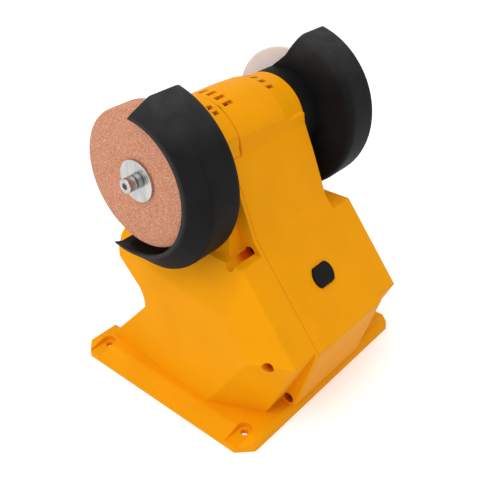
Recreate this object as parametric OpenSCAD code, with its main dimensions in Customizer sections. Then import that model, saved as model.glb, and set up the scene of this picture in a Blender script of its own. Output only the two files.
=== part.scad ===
// Cordless mini bench grinder: two wheels on one motor shaft, on a moulded stand with a base plate.
// X runs along the wheel axis, the button panel faces -Y and +Z is up.
// The origin is the centre of the base plate's underside. All sizes are in millimetres.

/* [Base plate] */
// Width of the base plate, along X
plate_w = 156; // [148:1:180]
// Depth of the base plate, along Y
plate_d = 140; // [140:1:170]
// Height of the plate at its rim
plate_edge_h = 3.5; // [3:0.1:5]
// Height of the plate under the housing
plate_h = 6.5; // [6:0.1:8]
// Width of the sloping border of the plate
plate_border = 12; // [6:0.5:14]
// Chamfer of the plate's corners
plate_chamfer = 8.5; // [4:0.5:10]
// Distance between the fixing holes along X
hole_spacing_x = 130; // [124:1:134]
// Distance between the fixing holes along Y
hole_spacing_y = 116; // [110:1:118]
// Diameter of a fixing hole
hole_d = 4.5; // [3.5:0.1:5.5]
// Width of a screw pocket
pocket_w = 9; // [8:0.5:10]
// Height of the pocket's floor
pocket_floor = 3.2; // [2.6:0.1:3.8]
// Half width of the notch in the plate's back edge
notch_hw = 51; // [46:0.5:54]

/* [Housing] */
// Wall thickness of the moulded housing
wall = 2.4; // [2:0.1:2.8]
// Height of the shoulder shelf
shelf_z = 101.1; // [98:0.1:103]
// Half width of the shelf
shelf_hw = 50; // [48:0.5:52]
// Front and back edge of the shelf, along Y
shelf_y = [-43.8, 44]; // [-60:0.1:60]
// Half width of the panel's lower corner
panel_hw = 50.4; // [48:0.1:52]
// Lower edge of the panel's side strips: Y and Z
panel_low = [-81.2, 54.3]; // [-90:0.1:90]
// Front end of the belt edge: half width, Y and Z
belt_front = [60, -43.5, 72.7]; // [-90:0.1:90]
// Back end of the belt edge: half width, Y and Z
belt_back = [54.5, 51, 78]; // [-90:0.1:90]
// Foot of the flank: half width and Y
foot_side = [63, -27]; // [-90:0.1:90]
// Foot of the strips' underside: half width and Y
foot_front = [47.7, -59.8]; // [-90:0.1:90]
// Centre of the hollow curve in the back: Y and Z
scoop_at = [43.9, 46.5]; // [-90:0.1:90]
// Radius of the hollow curve in the back
scoop_r = 16.6; // [15:0.1:18]
// Slope of the back's underside above the hollow curve, in degrees
scoop_slope = 35; // [30:1:40]
// Y of the back above the hollow
back_y = 50.8; // [49:0.1:53]
// Height where the back starts to lean towards the shelf
back_lean_z = 84; // [80:0.5:88]
// Y of the back ramp at the plate
ramp_foot_y = 61.5; // [58:0.5:64]
// Half width of the neck and of the spine under the panel
neck_hw = 33.3; // [32:0.1:35]
// How far the panel's middle rises above the shelf's front edge, along its slope
spine_rise = 9.5; // [8:0.1:11]
// How far the panel's middle reaches below its side strips, along its slope
spine_drop = 2.4; // [1.5:0.1:4]
// Y of the spine's foot on the plate
spine_foot_y = -69.5; // [-70:0.1:-66]
// Lower fold of the neck's front, from the wheel axis: Y and Z
fold_low = [-35.2, -13]; // [-60:0.1:60]
// Upper fold of the neck's front, from the wheel axis: Y and Z
fold_high = [-27.5, 4]; // [-60:0.1:60]
// Ledge above the upper fold, from the wheel axis: Y and Z
ledge = [-26.8, 9.5]; // [-60:0.1:60]
// Back of the neck, from the wheel axis: Y and Z
neck_back = [29, 4]; // [-60:0.1:60]
// Half width of the neck's flare where it stands on the shelf
flare_hw = 44; // [42:0.5:46]
// Y of the flare's front at the shelf
flare_y = -30; // [-32:0.5:-28]
// X of the parting line on the motor barrel
barrel_seam_x = -23; // [-25:0.5:-22]

/* [Motor barrel] */
// Y of the wheel axis
axis_y = 7.3; // [5:0.1:9]
// Height of the wheel axis
axis_z = 146; // [144:0.5:150]
// Half length of the barrel
barrel_hl = 36; // [35:0.5:38]
// Radius of the barrel's wide part
barrel_r = 29.4; // [29:0.1:31]
// Radius of the barrel's narrow end
barrel_end_r = 26.2; // [26.2:0.1:28]
// Height of the raised band at the left end
band_h = 0.7; // [0.4:0.1:1]
// Start and end of the barrel's taper, along X
step_x = [16, 26]; // [10:0.5:30]
// Length of a vent slot
vent_l = 7; // [4:0.5:7]
// Width of a vent slot
vent_w = 2.6; // [2:0.1:3.2]

/* [Wheels and guards] */
// Diameter of the wheels
wheel_d = 76; // [70:1:78]
// Thickness of the wheels
wheel_w = 16; // [12:1:18]
// Diameter of the wheels' bore
wheel_bore = 10; // [9:0.5:12]
// Distance from the guard's plate to the wheel
wheel_gap = 5.6; // [5:0.1:8]
// Length of the guard's hub between the barrel and its plate
guard_hub_l = 11.7; // [10:0.1:14]
// Thickness of the guard
guard_t = 2.1; // [1.8:0.1:2.6]
// Room between the wheel's rim and the guard
guard_room = 7.9; // [6:0.1:9]
// Length of the guard's round wall
guard_l = 22.5; // [20:0.5:26]
// Length of the guard's sloping lip
lip_l = 6.5; // [5:0.5:8]
// How far the lip reaches in front of the wheel's face
lip_over = 2.6; // [1:0.1:4]
// Height of the guard's open lower end above the plate's underside
guard_cut_z = 102.2; // [100:0.1:104]
// Radius of the lip's round opening in the guard's lower half
rim_r = 41.3; // [40:0.1:42]
// Shift of that opening from the wheel axis: Y and Z
rim_shift = [6.5, -1.5]; // [-10:0.1:10]
// How much higher than the round wall the tip of the lip ends
rim_rise = 2.2; // [0:0.1:4]
// Distance from the guard's plate to the felt wheel's rim
felt_gap = 0.7; // [0.6:0.1:2]
// How much narrower the felt wheel is at its outer face
felt_taper = 7; // [3:0.5:10]
// Radius of the outer clamping washer
washer_r = 11.6; // [9:0.1:13]
// Thickness of the outer clamping washer
washer_t = 1.8; // [1.2:0.1:2.4]

/* [Motor and shaft] */
// Radius of the motor can
can_r = 21.2; // [20.5:0.1:21.4]
// Radius of the motor shaft
shaft_r = 3; // [2.5:0.1:3.2]
// Outer diameter of a bearing
bearing_d = 19; // [18:0.1:20]
// Width of a bearing
bearing_w = 6; // [5:0.5:6]
// Radius of a bearing ball
ball_r = 1.5; // [1.2:0.1:1.6]
// Radius of the armature
armature_r = 15.6; // [14.5:0.1:15.8]

/* [Button and dock] */
// Width of the power button, along X
button_w = 16.2; // [14:0.1:18]
// Height of the power button along the panel
button_h = 12; // [10:0.1:13]
// How far the button stands out of the panel
button_out = 1.6; // [1.4:0.1:2.4]
// Distance of the button's centre below the panel's upper edge
button_down = 37; // [33:0.1:41]
// Travel of the button
button_travel = 1.4; // [1:0.1:2]
// Half width of the battery bay
bay_hw = 40; // [38:0.5:41]
// Y of the battery bay's front wall
bay_front = -28; // [-29:0.5:-26]
// Height of the battery bay's ceiling
bay_top = 62; // [60:0.5:63]

/* [Fits] */
// Radial clearance of a seated round fit
fit_gap = 0.05; // [0.02:0.01:0.1]
// Clearance around the button
button_gap = 0.35; // [0.3:0.05:0.5]
// Clearance around the bearing balls
ball_gap = 0.2; // [0.15:0.05:0.3]

/* [Hidden] */
$fn = 96;

housing_colour = [0.96, 0.64, 0.07];
guard_colour = [0.13, 0.13, 0.14];
steel_colour = [0.75, 0.76, 0.78];
zinc_colour = [0.62, 0.63, 0.65];
black_colour = [0.08, 0.08, 0.09];
copper_colour = [0.78, 0.45, 0.22];
brass_colour = [0.80, 0.65, 0.32];

// Where things lie along the wheel axis, from the centre outwards
guard_x = barrel_hl + guard_hub_l;
wheel_in_x = guard_x + guard_t + wheel_gap;
wheel_out_x = wheel_in_x + wheel_w;
flange_t = 3.5;
flange_x = wheel_in_x - flange_t;
washer_out_x = wheel_out_x + washer_t;
spring_washer_t = 1.2;
screw_seat_x = washer_out_x + spring_washer_t;
wall_in_x = barrel_hl - wall;
motor_boss_l = 3.2;
motor_hl = wall_in_x - motor_boss_l;
can_wall = 1.2;
end_cap_l = 8.4;
can_end_x = motor_hl - end_cap_l;
nose_l = bearing_w + 0.6;
bearing_x = motor_hl + bearing_w / 2 + 0.1;
hub_x = motor_hl + nose_l + 1;
wheel_r = wheel_d / 2;
guard_in_r = wheel_r + guard_room;
guard_r = guard_in_r + guard_t;
lip_r = wheel_r - lip_over;
hub_r = 26;
hub_in_r = 20;
guard_screw_r = 23;
guard_head_r = 2.4;
screw_r = 1.5;
thread_r = screw_r + fit_gap;
through_r = screw_r + 0.2;

head_h = 2;
guard_seat_x = guard_x + guard_t - head_h - 0.2;

// Corners of the faceted lower body, on its right side
corner_shelf = [shelf_hw, shelf_y[0], shelf_z];
corner_panel = [panel_hw, panel_low[0], panel_low[1]];
corner_foot = [foot_front[0], foot_front[1], plate_h];
corner_side = [foot_side[0], foot_side[1], plate_h];
core = [0, 0, 60];
reach = 240;

function mirrored(p) = [-p.x, p.y, p.z];
function unit(v) = v / norm(v);
// A flat face through three corners: a point on it and its outward normal
function facet(a, b, c) =
    let (n = unit(cross(b - a, c - a)))
    (n * (core - a) > 0) ? [a, -n] : [a, n];
function mirrored_facet(f) = [mirrored(f[0]), mirrored(f[1])];
// Moves each side of an anticlockwise outline inwards by d
function inset(p, d) = [for (i = [0 : len(p) - 1])
    let (a = p[(i + len(p) - 1) % len(p)], b = p[i], c = p[(i + 1) % len(p)],
        u = unit(b - a), v = unit(c - b), nu = [-u.y, u.x], nv = [-v.y, v.x])
    b + d / (1 + nu * nv) * (nu + nv)];

panel_facet = facet(corner_shelf, corner_panel, mirrored(corner_shelf));
under_facet = facet(corner_panel, corner_foot, mirrored(corner_panel));
side_facets = [
    facet(corner_shelf, corner_panel, belt_front),
    facet(belt_front, belt_back, corner_side),
    facet(corner_panel + [0.3, 0, 0], corner_foot, corner_side),
    facet(corner_shelf, belt_front, belt_back)];
body_facets = concat([panel_facet, under_facet], side_facets,
    [for (f = side_facets) mirrored_facet(f)]);

// Neck and spine, seen along the wheel axis
axis = [axis_y, axis_z];
panel_top = [shelf_y[0], shelf_z];
spine_dir = unit(panel_low - panel_top);
panel_out = [spine_dir.y, -spine_dir.x];
// The spine lies this far behind the panel's face
spine_in = 0.15;
spine_top = panel_top - spine_rise * spine_dir - spine_in * panel_out;
spine_low = panel_low + spine_drop * spine_dir - spine_in * panel_out;
spine_outline = [
    [spine_foot_y, plate_h], [shelf_y[0] + 6, plate_h], [shelf_y[0] + 6, 60], [46, 84],
    axis + neck_back, axis + [22, 12], axis + [-21, 11], axis + ledge, axis + fold_high,
    axis + fold_low, spine_top, spine_low];
panel_tilt = atan2(spine_top.y - spine_low.y, spine_top.x - spine_low.x);
button_at = panel_top + (button_down - spine_rise) * spine_dir;

// Flare of the neck above the shelf
flare_top_z = shelf_z + 36;
flare_side = [flare_hw + 3.5, flare_y + 14, shelf_z];
flare_rise = [-7, 0, 16];
flare_facets = [
    facet([flare_hw, flare_y, shelf_z], flare_side, [flare_hw, flare_y, shelf_z] + flare_rise),
    facet(flare_side, [flare_hw + 2, shelf_y[1], shelf_z], flare_side + flare_rise)];
flare_ends = [
    facet([0, flare_y, shelf_z], [9, flare_y, shelf_z], [0, flare_y + 5.5, shelf_z + 16]),
    facet([0, 45.8, 84], [0, axis.x + neck_back.x - 0.2, axis.y + neck_back.y], [9, 45.8, 84])];

// Flat strip above the upper fold, cut across the barrel's front
function on_axis(x, p) = [x, axis.x + p.x, axis.y + p.y];
ledge_facet = facet(on_axis(0, fold_high), on_axis(9, fold_high), on_axis(0, ledge));

// Parting: everything left of this plane belongs to the left cover
seam_x = -(neck_hw - wall);
barrel_seam_z = axis_z + 4;

// Cover screws: Y, Z, X of the joint between the towers, X of the head's seat, X of the left tower's start
cover_boss_r = 4.4;
cover_head_r = 2.8;
cover_bore_r = 3.2;
cover_screws_at = [
    [-34.9, 100.8, seam_x + 7, seam_x + 3, -neck_hw + 0.5],
    [-67, 52, seam_x + 7, seam_x + 3, -52],
    [-65, 11, seam_x + 10, seam_x + 6, -44]];
cover_tower_l = 18;
tower_gap = 0.3;

// Base screws, in the four bosses along the bay's side walls
base_boss_r = 4.2;
base_boss_h = 14;
base_screw_x = bay_hw + wall + base_boss_r - 0.6;
base_screw_y = [-18, 42];
base_screws_at = [for (sx = [-1, 1], y = base_screw_y) [sx * base_screw_x, y]];
head_r = 3;

// Bearings
ring_w = (bearing_d / 2 - shaft_r - 2 * fit_gap) / 2;
inner_ring_r = shaft_r + fit_gap + ring_w * 0.58;
outer_ring_r = bearing_d / 2 - ring_w * 0.58;
ball_pitch_r = (inner_ring_r + outer_ring_r) / 2;
ball_count = 7;

// Motor inside
magnet_apart = 10;
magnet_in_r = armature_r + 0.6;
core_x = [can_end_x - 38, can_end_x - 12];
slot_count = 8;
slot_w = 4;
slot_in_r = 7.5;
coil_gap = 0.15;
coil_end_l = 5;
commutator_r = 5.6;
commutator_x = [can_end_x - 5, can_end_x + 4];
brush_gap = 0.1;
brush_size = [5, 6, 4];
brush_x = (commutator_x[0] + commutator_x[1]) / 2;
fan_x = [-motor_hl + 2.2, -motor_hl + 6.4];
terminal_z = axis_z - can_r - 4;

// Button and switch, measured in the panel's own frame
button_flange = 1.3;
flange_h = 1.5;
flange_top = -wall - 0.5;
button_foot = -7;
stem_r = 2.5;
stem_end = -9.7;
switch_top = button_foot - button_travel - 0.3;
switch_size = [16, 13, 12.5];
switch_gap = 0.15;
// A place under the button's centre: X and distance out of the panel
function panel_point(x, out) =
    [x, button_at.x - out * sin(panel_tilt), button_at.y + out * cos(panel_tilt)];

// Control board on the bay's front wall
board_size = [48, 1.6, 34];
board_z = 12;
post_l = 2.4;
board_back_y = bay_front - wall - post_l;
board_face_y = board_back_y - board_size.y;
board_screws_at = [for (x = [-20.5, 20.5], z = [board_z + 4, board_z + board_size.z - 4]) [x, z]];

// Battery dock under the bay's ceiling
dock_size = [68, 62, 3.4];
dock_y = bay_front + 10;
rail_h = 7;
rail_x = [27, 30];
rail_lip = 3.5;
rail_lip_h = 2.6;
dock_screw_x = 18;
dock_screw_in = 12;
dock_screws_at = [for (sx = [-1, 1], y = [dock_y + dock_screw_in, dock_y + dock_size.y - dock_screw_in])
    [sx * dock_screw_x, y]];
latch_size = [16, 6];
latch_in = 8;
dock_boss_h = 7;
block_size = [30, 8, 11.2];
block_z = bay_top - dock_size.z - block_size.z;
blade_size = [0.8, 25, 5];
blade_pitch = 9;
blade_z = block_z + 3;
blade_y = bay_front - wall - 2.6;

// Leads: diameter and hand-chosen routes
lead_d = 2;
positive_route = [[9, blade_y, blade_z + 2.5], [9, blade_y - 4, blade_z + 2.5], [9.5, -41, 49],
    [10, -42, 45], [10.5, -40.5, 41], [11, -38, 39], [11, board_face_y, 39]];
negative_route = [for (p = positive_route) mirrored(p)];
switch_back = switch_top - switch_size.z;
switch_route = [panel_point(4, switch_back), panel_point(4, switch_back - 3),
    [4.5, -42, 58], [5, -43, 48], [5, -42, 40],
    [5, -38.5, 35], [5, board_face_y, 35]];
motor_route_a = [[16, board_face_y, 30], [16, -39, 30], [16.5, -44, 38], [17, -44, 54], [18, -38, 72],
    [20, -27, 88], [23, -12, 103], [26, 0.3, 113], [26, 0.3, terminal_z]];
motor_route_b = [[-16, board_face_y, 30], [-16, -39, 30], [-16.5, -44, 38], [-17, -44, 54], [-15, -38, 72],
    [-8, -26, 88], [6, -6, 100], [24, 12, 109], [26, 14.3, 115], [26, 14.3, terminal_z]];
lead_sides = 8;
lead_steps = 2;

// Extrudes an outline drawn in (Y, Z) along X
module across(x0, x1) {
    translate([x0, 0, 0]) rotate([90, 0, 90]) linear_extrude(x1 - x0) children();
}

// Cylinder along X, at an offset from the wheel axis
module axle(r, x0, x1, dy = 0, dz = 0) {
    translate([x0, axis_y + dy, axis_z + dz]) rotate([0, 90, 0]) cylinder(r = r, h = x1 - x0);
}

// Cylinder along X at a place in (Y, Z)
module pin_x(r, x0, x1, at) {
    translate([x0, at[0], at[1]]) rotate([0, 90, 0]) cylinder(r = r, h = x1 - x0);
}

module ring(outer, inner, x0, x1) {
    difference() {
        axle(outer, x0, x1);
        axle(inner, x0 - 1, x1 + 1);
    }
}

// Turns an outline of (radius, X) about the wheel axis
module turned(outline) {
    translate([0, axis_y, axis_z]) rotate([0, 90, 0]) rotate_extrude() polygon(outline);
}

module both_sides() {
    children();
    mirror([1, 0, 0]) children();
}

// The panel's own frame: X along the wheel axis, Y up the slope, Z out of the panel
module on_panel() {
    translate([0, button_at.x, button_at.y]) rotate([panel_tilt, 0, 0]) children();
}

// Everything outside a flat face that is moved inwards by d
module beyond(f, d) {
    translate(f[0] - d * f[1])
        rotate([0, acos(f[1].z), atan2(f[1].y, f[1].x)])
            translate([-reach, -reach, 0]) cube([2 * reach, 2 * reach, reach]);
}

module within_facets(facets, d, z0, z1) {
    difference() {
        translate([-reach / 2, -reach / 2, z0]) cube([reach, reach, z1 - z0]);
        for (f = facets) beyond(f, d);
    }
}

module faceted_body(d, z0) {
    within_facets(body_facets, d, z0, shelf_z - d);
}

module flare(d) {
    difference() {
        within_facets(concat(flare_facets, flare_ends, [for (f = flare_facets) mirrored_facet(f)]),
            d, shelf_z - 10.8, flare_top_z - d);
        both_sides() axle(hub_r + 0.5 + d, barrel_hl - d, reach);
    }
}

// Everything behind the housing's back: a lean, an upright face, a hollow curve and a ramp
module behind(grow) {
    touch = scoop_at + (scoop_r - 0.1) * [-sin(scoop_slope), cos(scoop_slope)];
    waist = [scoop_at.x - scoop_r, scoop_at.y - 0.5];
    lean = unit([shelf_y[1] - back_y, shelf_z - back_lean_z]);
    ramp = unit([ramp_foot_y, plate_h] - waist);
    knee = waist + scoop_r / 2 * ramp;
    outline = [
        [reach, -reach / 4], [reach, shelf_z + 20], [shelf_y[1], shelf_z] + 20 * lean,
        [back_y, back_lean_z], [back_y, touch.y + (back_y - touch.x) * tan(scoop_slope)],
        touch, scoop_at, knee, [knee.x, -reach / 4]];
    across(-reach / 2, reach / 2) intersection() {
        union() {
            translate(scoop_at) circle(r = scoop_r + grow);
            polygon(inset(outline, -grow));
        }
        translate(waist) rotate(atan2(ramp.y, ramp.x)) translate([-reach, -grow]) square(2 * reach);
    }
}

module barrel_outside() {
    difference() {
        turned([
            [0, -barrel_hl], [barrel_r + band_h - 1.5, -barrel_hl], [barrel_r + band_h, -barrel_hl + 1.5],
            [barrel_r + band_h, barrel_seam_x], [barrel_r, barrel_seam_x], [barrel_r, step_x[0] - 14],
            [barrel_r - 0.7, step_x[0]], [barrel_r - 1.4, step_x[0] + 3],
            [barrel_end_r + 1.1, step_x[1] - 3], [barrel_end_r + 0.4, step_x[1]],
            [barrel_end_r, barrel_hl - 1.2], [barrel_end_r - 1.2, barrel_hl],
            [0, barrel_hl]]);
        beyond(ledge_facet, 0.1);
    }
}

module barrel_inside() {
    difference() {
        turned([
            [0, -wall_in_x], [barrel_r - wall, -wall_in_x], [barrel_r - wall, step_x[0] - 14],
            [barrel_r - 0.7 - wall, step_x[0] - 2], [barrel_end_r - wall, step_x[1] - 2],
            [barrel_end_r - wall, wall_in_x], [0, wall_in_x]]);
        beyond(ledge_facet, wall + 0.1);
    }
}

module bay(grow) {
    translate([-bay_hw - grow, bay_front - grow, -1])
        cube([2 * (bay_hw + grow), reach, bay_top + grow + 1]);
}

module vents() {
    for (a = [79 : 11.5 : 114]) vent(a, barrel_seam_x + 3.7, vent_l);
    for (a = [78.5 : 12 : 115]) vent(a, step_x[0] + 0.7, vent_l - 1);
    for (a = [110, 119]) vent(a, barrel_seam_x - 7, vent_l / 2);
}

module vent(angle, x, length) {
    translate([x, axis_y, axis_z]) rotate([angle, 0, 0])
        translate([0, can_r + 0.8, -vent_w / 2]) cube([length, barrel_r, vent_w]);
}

// The whole moulded shell before it is parted
module shell() {
    difference() {
        union() {
            difference() {
                faceted_body(0, plate_h);
                behind(0);
            }
            across(-neck_hw, neck_hw) polygon(spine_outline);
            flare(0);
            barrel_outside();
        }
        difference() {
            union() {
                faceted_body(wall, plate_h - 1);
                across(-neck_hw + wall, neck_hw - wall) polygon(inset(spine_outline, wall));
                flare(wall);
            }
            behind(wall);
            bay(wall);
        }
        barrel_inside();
        bay(0);
        vents();
        axle(motor_nose_r() + fit_gap, -reach, reach);
        for (s = cover_screws_at) pin_x(cover_bore_r, -reach, s[3], [s[0], s[1]]);
        translate([-block_size.x / 2 + 2, bay_front - wall - 1, blade_z - 1])
            cube([block_size.x - 4, wall + 2, blade_size.z + 2]);
    }
}

function motor_nose_r() = bearing_d / 2 + 1.5;

module left_side() {
    translate([-reach, -reach, -1]) cube([reach + seam_x, 2 * reach, 2 * reach]);
    translate([-reach, -reach, barrel_seam_z]) cube([reach + barrel_seam_x, 2 * reach, reach]);
}

// Pillar for a base screw
module base_boss(at) {
    translate([at[0], at[1], plate_h]) cylinder(r = base_boss_r, h = base_boss_h);
}

module base_pilot(at) {
    translate([at[0], at[1], plate_h - 1]) cylinder(r = thread_r, h = base_boss_h);
}

module guard_boss(side) {
    for (a = [30, 150, 270])
        axle(3, side > 0 ? motor_hl + 0.2 : -wall_in_x - 0.5, side > 0 ? wall_in_x + 0.5 : -motor_hl - 0.2,
            guard_screw_r * cos(a), guard_screw_r * sin(a));
}

module guard_pilot() {
    for (a = [30, 150, 270])
        axle(thread_r, -reach, reach, guard_screw_r * cos(a), guard_screw_r * sin(a));
}

motor_screw_r = 14.5;

module motor_boss(r, x0, x1) {
    for (s = [-1, 1]) axle(r, x0, x1, s * motor_screw_r, 0);
}

// Rib from a screw tower to the panel's wall
module panel_rib(x0, length, at) {
    depth = -((at - spine_top) * [-sin(panel_tilt), cos(panel_tilt)]) - wall / 2;
    translate([x0, at[0], at[1]]) rotate([panel_tilt, 0, 0]) translate([0, -1, 0]) cube([length, 2, depth]);
}

module button_outline(grow) {
    intersection() {
        circle(r = button_w / 2 + grow);
        square([button_w + 4 * grow, button_h + 2 * grow], center = true);
    }
}

module base_plate() {
    hx = hole_spacing_x / 2;
    hy = hole_spacing_y / 2;
    w = plate_w / 2;
    d = plate_d / 2;
    c = plate_chamfer;
    color(housing_colour) difference() {
        intersection() {
            linear_extrude(plate_h)
                polygon([[-w + c, -d], [w - c, -d], [w, -d + c], [w, d - c], [w - c, d], [-w + c, d],
                    [-w, d - c], [-w, -d + c]]);
            across(-w, w)
                polygon([[-d, 0], [d, 0], [d, plate_edge_h], [d - plate_border / 4, plate_h],
                    [-d + plate_border / 4, plate_h], [-d, plate_edge_h]]);
            translate([0, d, 0]) rotate([90, 0, 0]) linear_extrude(plate_d)
                polygon([[-w, 0], [w, 0], [w, plate_edge_h], [w - plate_border, plate_h],
                    [-w + plate_border, plate_h], [-w, plate_edge_h]]);
        }
        for (sx = [-1, 1], sy = [-1, 1]) translate([sx * hx, sy * hy, 0]) {
            translate([0, 0, -1]) cylinder(d = hole_d, h = plate_h + 2);
            translate([0, 0, pocket_floor]) {
                cylinder(d = pocket_w, h = plate_h);
                translate([sx > 0 ? 0 : -w, -pocket_w / 2, 0]) cube([w, pocket_w, plate_h]);
            }
        }
        translate([-notch_hw, ramp_foot_y, -1]) cube([2 * notch_hw, plate_d, plate_h + 2]);
        for (p = base_screws_at) translate([p[0], p[1], -1]) {
            cylinder(r = through_r, h = plate_h + 2);
            cylinder(r = head_r + 0.4, h = head_h + 1.4);
        }
    }
}

module main_housing() {
    color(housing_colour) difference() {
        union() {
            difference() {
                shell();
                left_side();
            }
            for (x = [-14, 10]) difference() {
                axle(barrel_r - wall + 0.4, x, x + 3);
                axle(can_r + 2 * fit_gap, x - 1, x + 4);
            }
            guard_boss(1);
            for (i = [0 : 2]) {
                s = cover_screws_at[i];
                pin_x(cover_boss_r, s[2], s[2] + cover_tower_l, [s[0], s[1]]);
                if (i < 2) panel_rib(s[2] + 2, cover_tower_l - 4, [s[0], s[1]]);
            }
            for (p = base_screws_at) if (p[0] > 0) base_boss(p);
            for (p = dock_screws_at) translate([p[0], p[1], bay_top]) cylinder(r = 3.4, h = dock_boss_h);
            for (p = board_screws_at) translate([p[0], bay_front - wall / 2, p[1]])
                rotate([90, 0, 0]) cylinder(r = 3, h = post_l + wall / 2);
            on_panel() for (s = [-1, 1])
                translate([s > 0 ? switch_size.x / 2 + switch_gap : -switch_size.x / 2 - switch_gap - 2.4,
                    -5, switch_top - switch_size.z + 2])
                    cube([2.4, 10, -switch_top + switch_size.z - 2 - wall / 2]);
        }
        guard_pilot();
        for (s = cover_screws_at) {
            pin_x(thread_r, s[2] - 1, s[2] + cover_tower_l - 3, [s[0], s[1]]);
            pin_x(cover_boss_r + tower_gap, seam_x - 1, s[2] + fit_gap, [s[0], s[1]]);
        }
        for (p = base_screws_at) base_pilot(p);
        for (p = dock_screws_at)
            translate([p[0], p[1], bay_top - 1]) cylinder(r = thread_r, h = dock_boss_h - 0.5);
        for (p = board_screws_at) translate([p[0], bay_front - wall + 0.6, p[1]])
            rotate([90, 0, 0]) cylinder(r = thread_r, h = post_l + 2);
        on_panel() {
            translate([0, 0, -wall - 2]) linear_extrude(wall + 6) button_outline(button_gap);
            translate([0, 0, flange_top - flange_h - button_travel - button_gap])
                linear_extrude(flange_h + button_travel + 2 * button_gap)
                    button_outline(button_flange + button_gap);
        }
    }
}

module left_cover() {
    color(housing_colour) difference() {
        union() {
            intersection() {
                shell();
                left_side();
            }
            difference() {
                union() {
                    for (s = cover_screws_at) pin_x(cover_boss_r, s[4], s[2], [s[0], s[1]]);
                    intersection() {
                        union() {
                            for (s = cover_screws_at) pin_x(cover_boss_r, -reach, s[4] + 1, [s[0], s[1]]);
                        }
                        faceted_body(wall / 3, plate_h);
                    }
                }
                beyond(under_facet, 0);
            }
            guard_boss(-1);
            motor_boss(4, -wall_in_x - 0.5, -motor_hl);
            for (p = base_screws_at) if (p[0] < 0) base_boss(p);
        }
        guard_pilot();
        motor_boss(through_r, -reach, 0);
        for (s = cover_screws_at) {
            pin_x(through_r, -reach, reach, [s[0], s[1]]);
            pin_x(cover_bore_r, -reach, s[3], [s[0], s[1]]);
        }
        for (p = base_screws_at) base_pilot(p);
    }
}

// Pan-head screw with a cross slot: the head sits on z = 0 and the shank points down
module pan_screw(length, r = screw_r, hr = cover_head_r, hh = head_h) {
    difference() {
        union() {
            cylinder(r = hr, h = hh);
            translate([0, 0, -length]) cylinder(r = r, h = length + 0.1);
        }
        for (a = [0, 90]) rotate([0, 0, a])
            translate([-hr * 0.6, -0.4, hh - 0.9]) cube([hr * 1.2, 0.8, 2]);
    }
}

module cover_screws() {
    color(zinc_colour) for (s = cover_screws_at)
        translate([s[3], s[0], s[1]]) rotate([0, -90, 0]) pan_screw(s[2] - s[3] + cover_tower_l - 4);
}

module base_screws() {
    color(zinc_colour) for (p = base_screws_at)
        translate([p[0], p[1], head_h + 0.4]) rotate([180, 0, 0])
            pan_screw(plate_h - head_h - 0.4 + base_boss_h - 2, hr = head_r);
}

// Outline of what the guard leaves open above a height, in (Y, Z)
module guard_opening(low_z) {
    top = axis + [-11.3, 46.3];
    step = [5.5, -9.3];
    polygon([top - 3 * step, top, top + step, top + 2.2 * step, [axis_y + 6.7, low_z],
        [axis_y + reach, low_z], [axis_y + reach, axis_z + reach]]);
}

// Edges of the guard's plate behind the wheel
module plate_opening() {
    intersection() {
        translate([1.8, 0]) guard_opening(guard_cut_z);
        union() {
            for (a = [58, -8])
                translate(axis) rotate(a) translate([hub_r + 0.1, -reach / 2]) square([reach, reach]);
        }
    }
    translate([0, guard_cut_z - reach]) square([reach, reach]);
}

// Part of the guard above the lip's shifted opening
module guard_upper() {
    translate([-1, axis_y - reach, axis_z - 14]) cube([reach + 2, 2 * reach, reach]);
}

module guard() {
    lip_x = guard_x + guard_l;
    edge = 3.4;
    difference() {
        turned([
            [guard_r - edge, guard_x], [guard_r - 0.9, guard_x + 1], [guard_r, guard_x + edge],
            [guard_r, lip_x - 1], [guard_r - 0.5, lip_x], [lip_r, lip_x + lip_l],
            [lip_r - 0.2, lip_x + lip_l - guard_t], [guard_in_r, lip_x - 1.4],
            [guard_in_r, guard_x + guard_t + 2], [guard_in_r - 2, guard_x + guard_t],
            [guard_r - edge - 2, guard_x + guard_t], [guard_r - edge - 2, guard_x]]);
        across(0, reach) guard_opening(guard_cut_z);
        difference() {
            axle(rim_r, lip_x + 0.5, reach, rim_shift.x, rim_shift.y);
            guard_upper();
        }
    }
    difference() {
        axle(rim_r + guard_t, lip_x - 1, lip_x + lip_l, rim_shift.x, rim_shift.y);
        axle(rim_r, 0, reach, rim_shift.x, rim_shift.y);
        axle(wheel_r + 1.2, 0, wheel_out_x + 1);
        across(0, reach) guard_opening(guard_cut_z + rim_rise);
        guard_upper();
    }
    difference() {
        axle(guard_r - edge - 1, guard_x, guard_x + guard_t);
        across(0, reach) plate_opening();
        axle(9, 0, reach);
        guard_holes();
    }
    difference() {
        ring(hub_r, hub_in_r, barrel_hl, guard_x + 0.1);
        guard_holes();
    }
}

module guard_holes() {
    for (a = [30, 150, 270]) {
        axle(through_r, 0, reach, guard_screw_r * cos(a), guard_screw_r * sin(a));
        axle(guard_head_r + 0.3, guard_seat_x, reach, guard_screw_r * cos(a), guard_screw_r * sin(a));
    }
}

module left_guard() {
    color(guard_colour) mirror([1, 0, 0]) guard();
}

module right_guard() {
    color(guard_colour) guard();
}

module guard_screws() {
    length = guard_seat_x - wall_in_x + 2;
    color(zinc_colour) for (side = [-1, 1], a = [30, 150, 270])
        translate([side * guard_seat_x, axis_y + guard_screw_r * cos(a), axis_z + guard_screw_r * sin(a)])
            rotate([0, side * 90, 0]) pan_screw(length, hr = guard_head_r);
}

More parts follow.
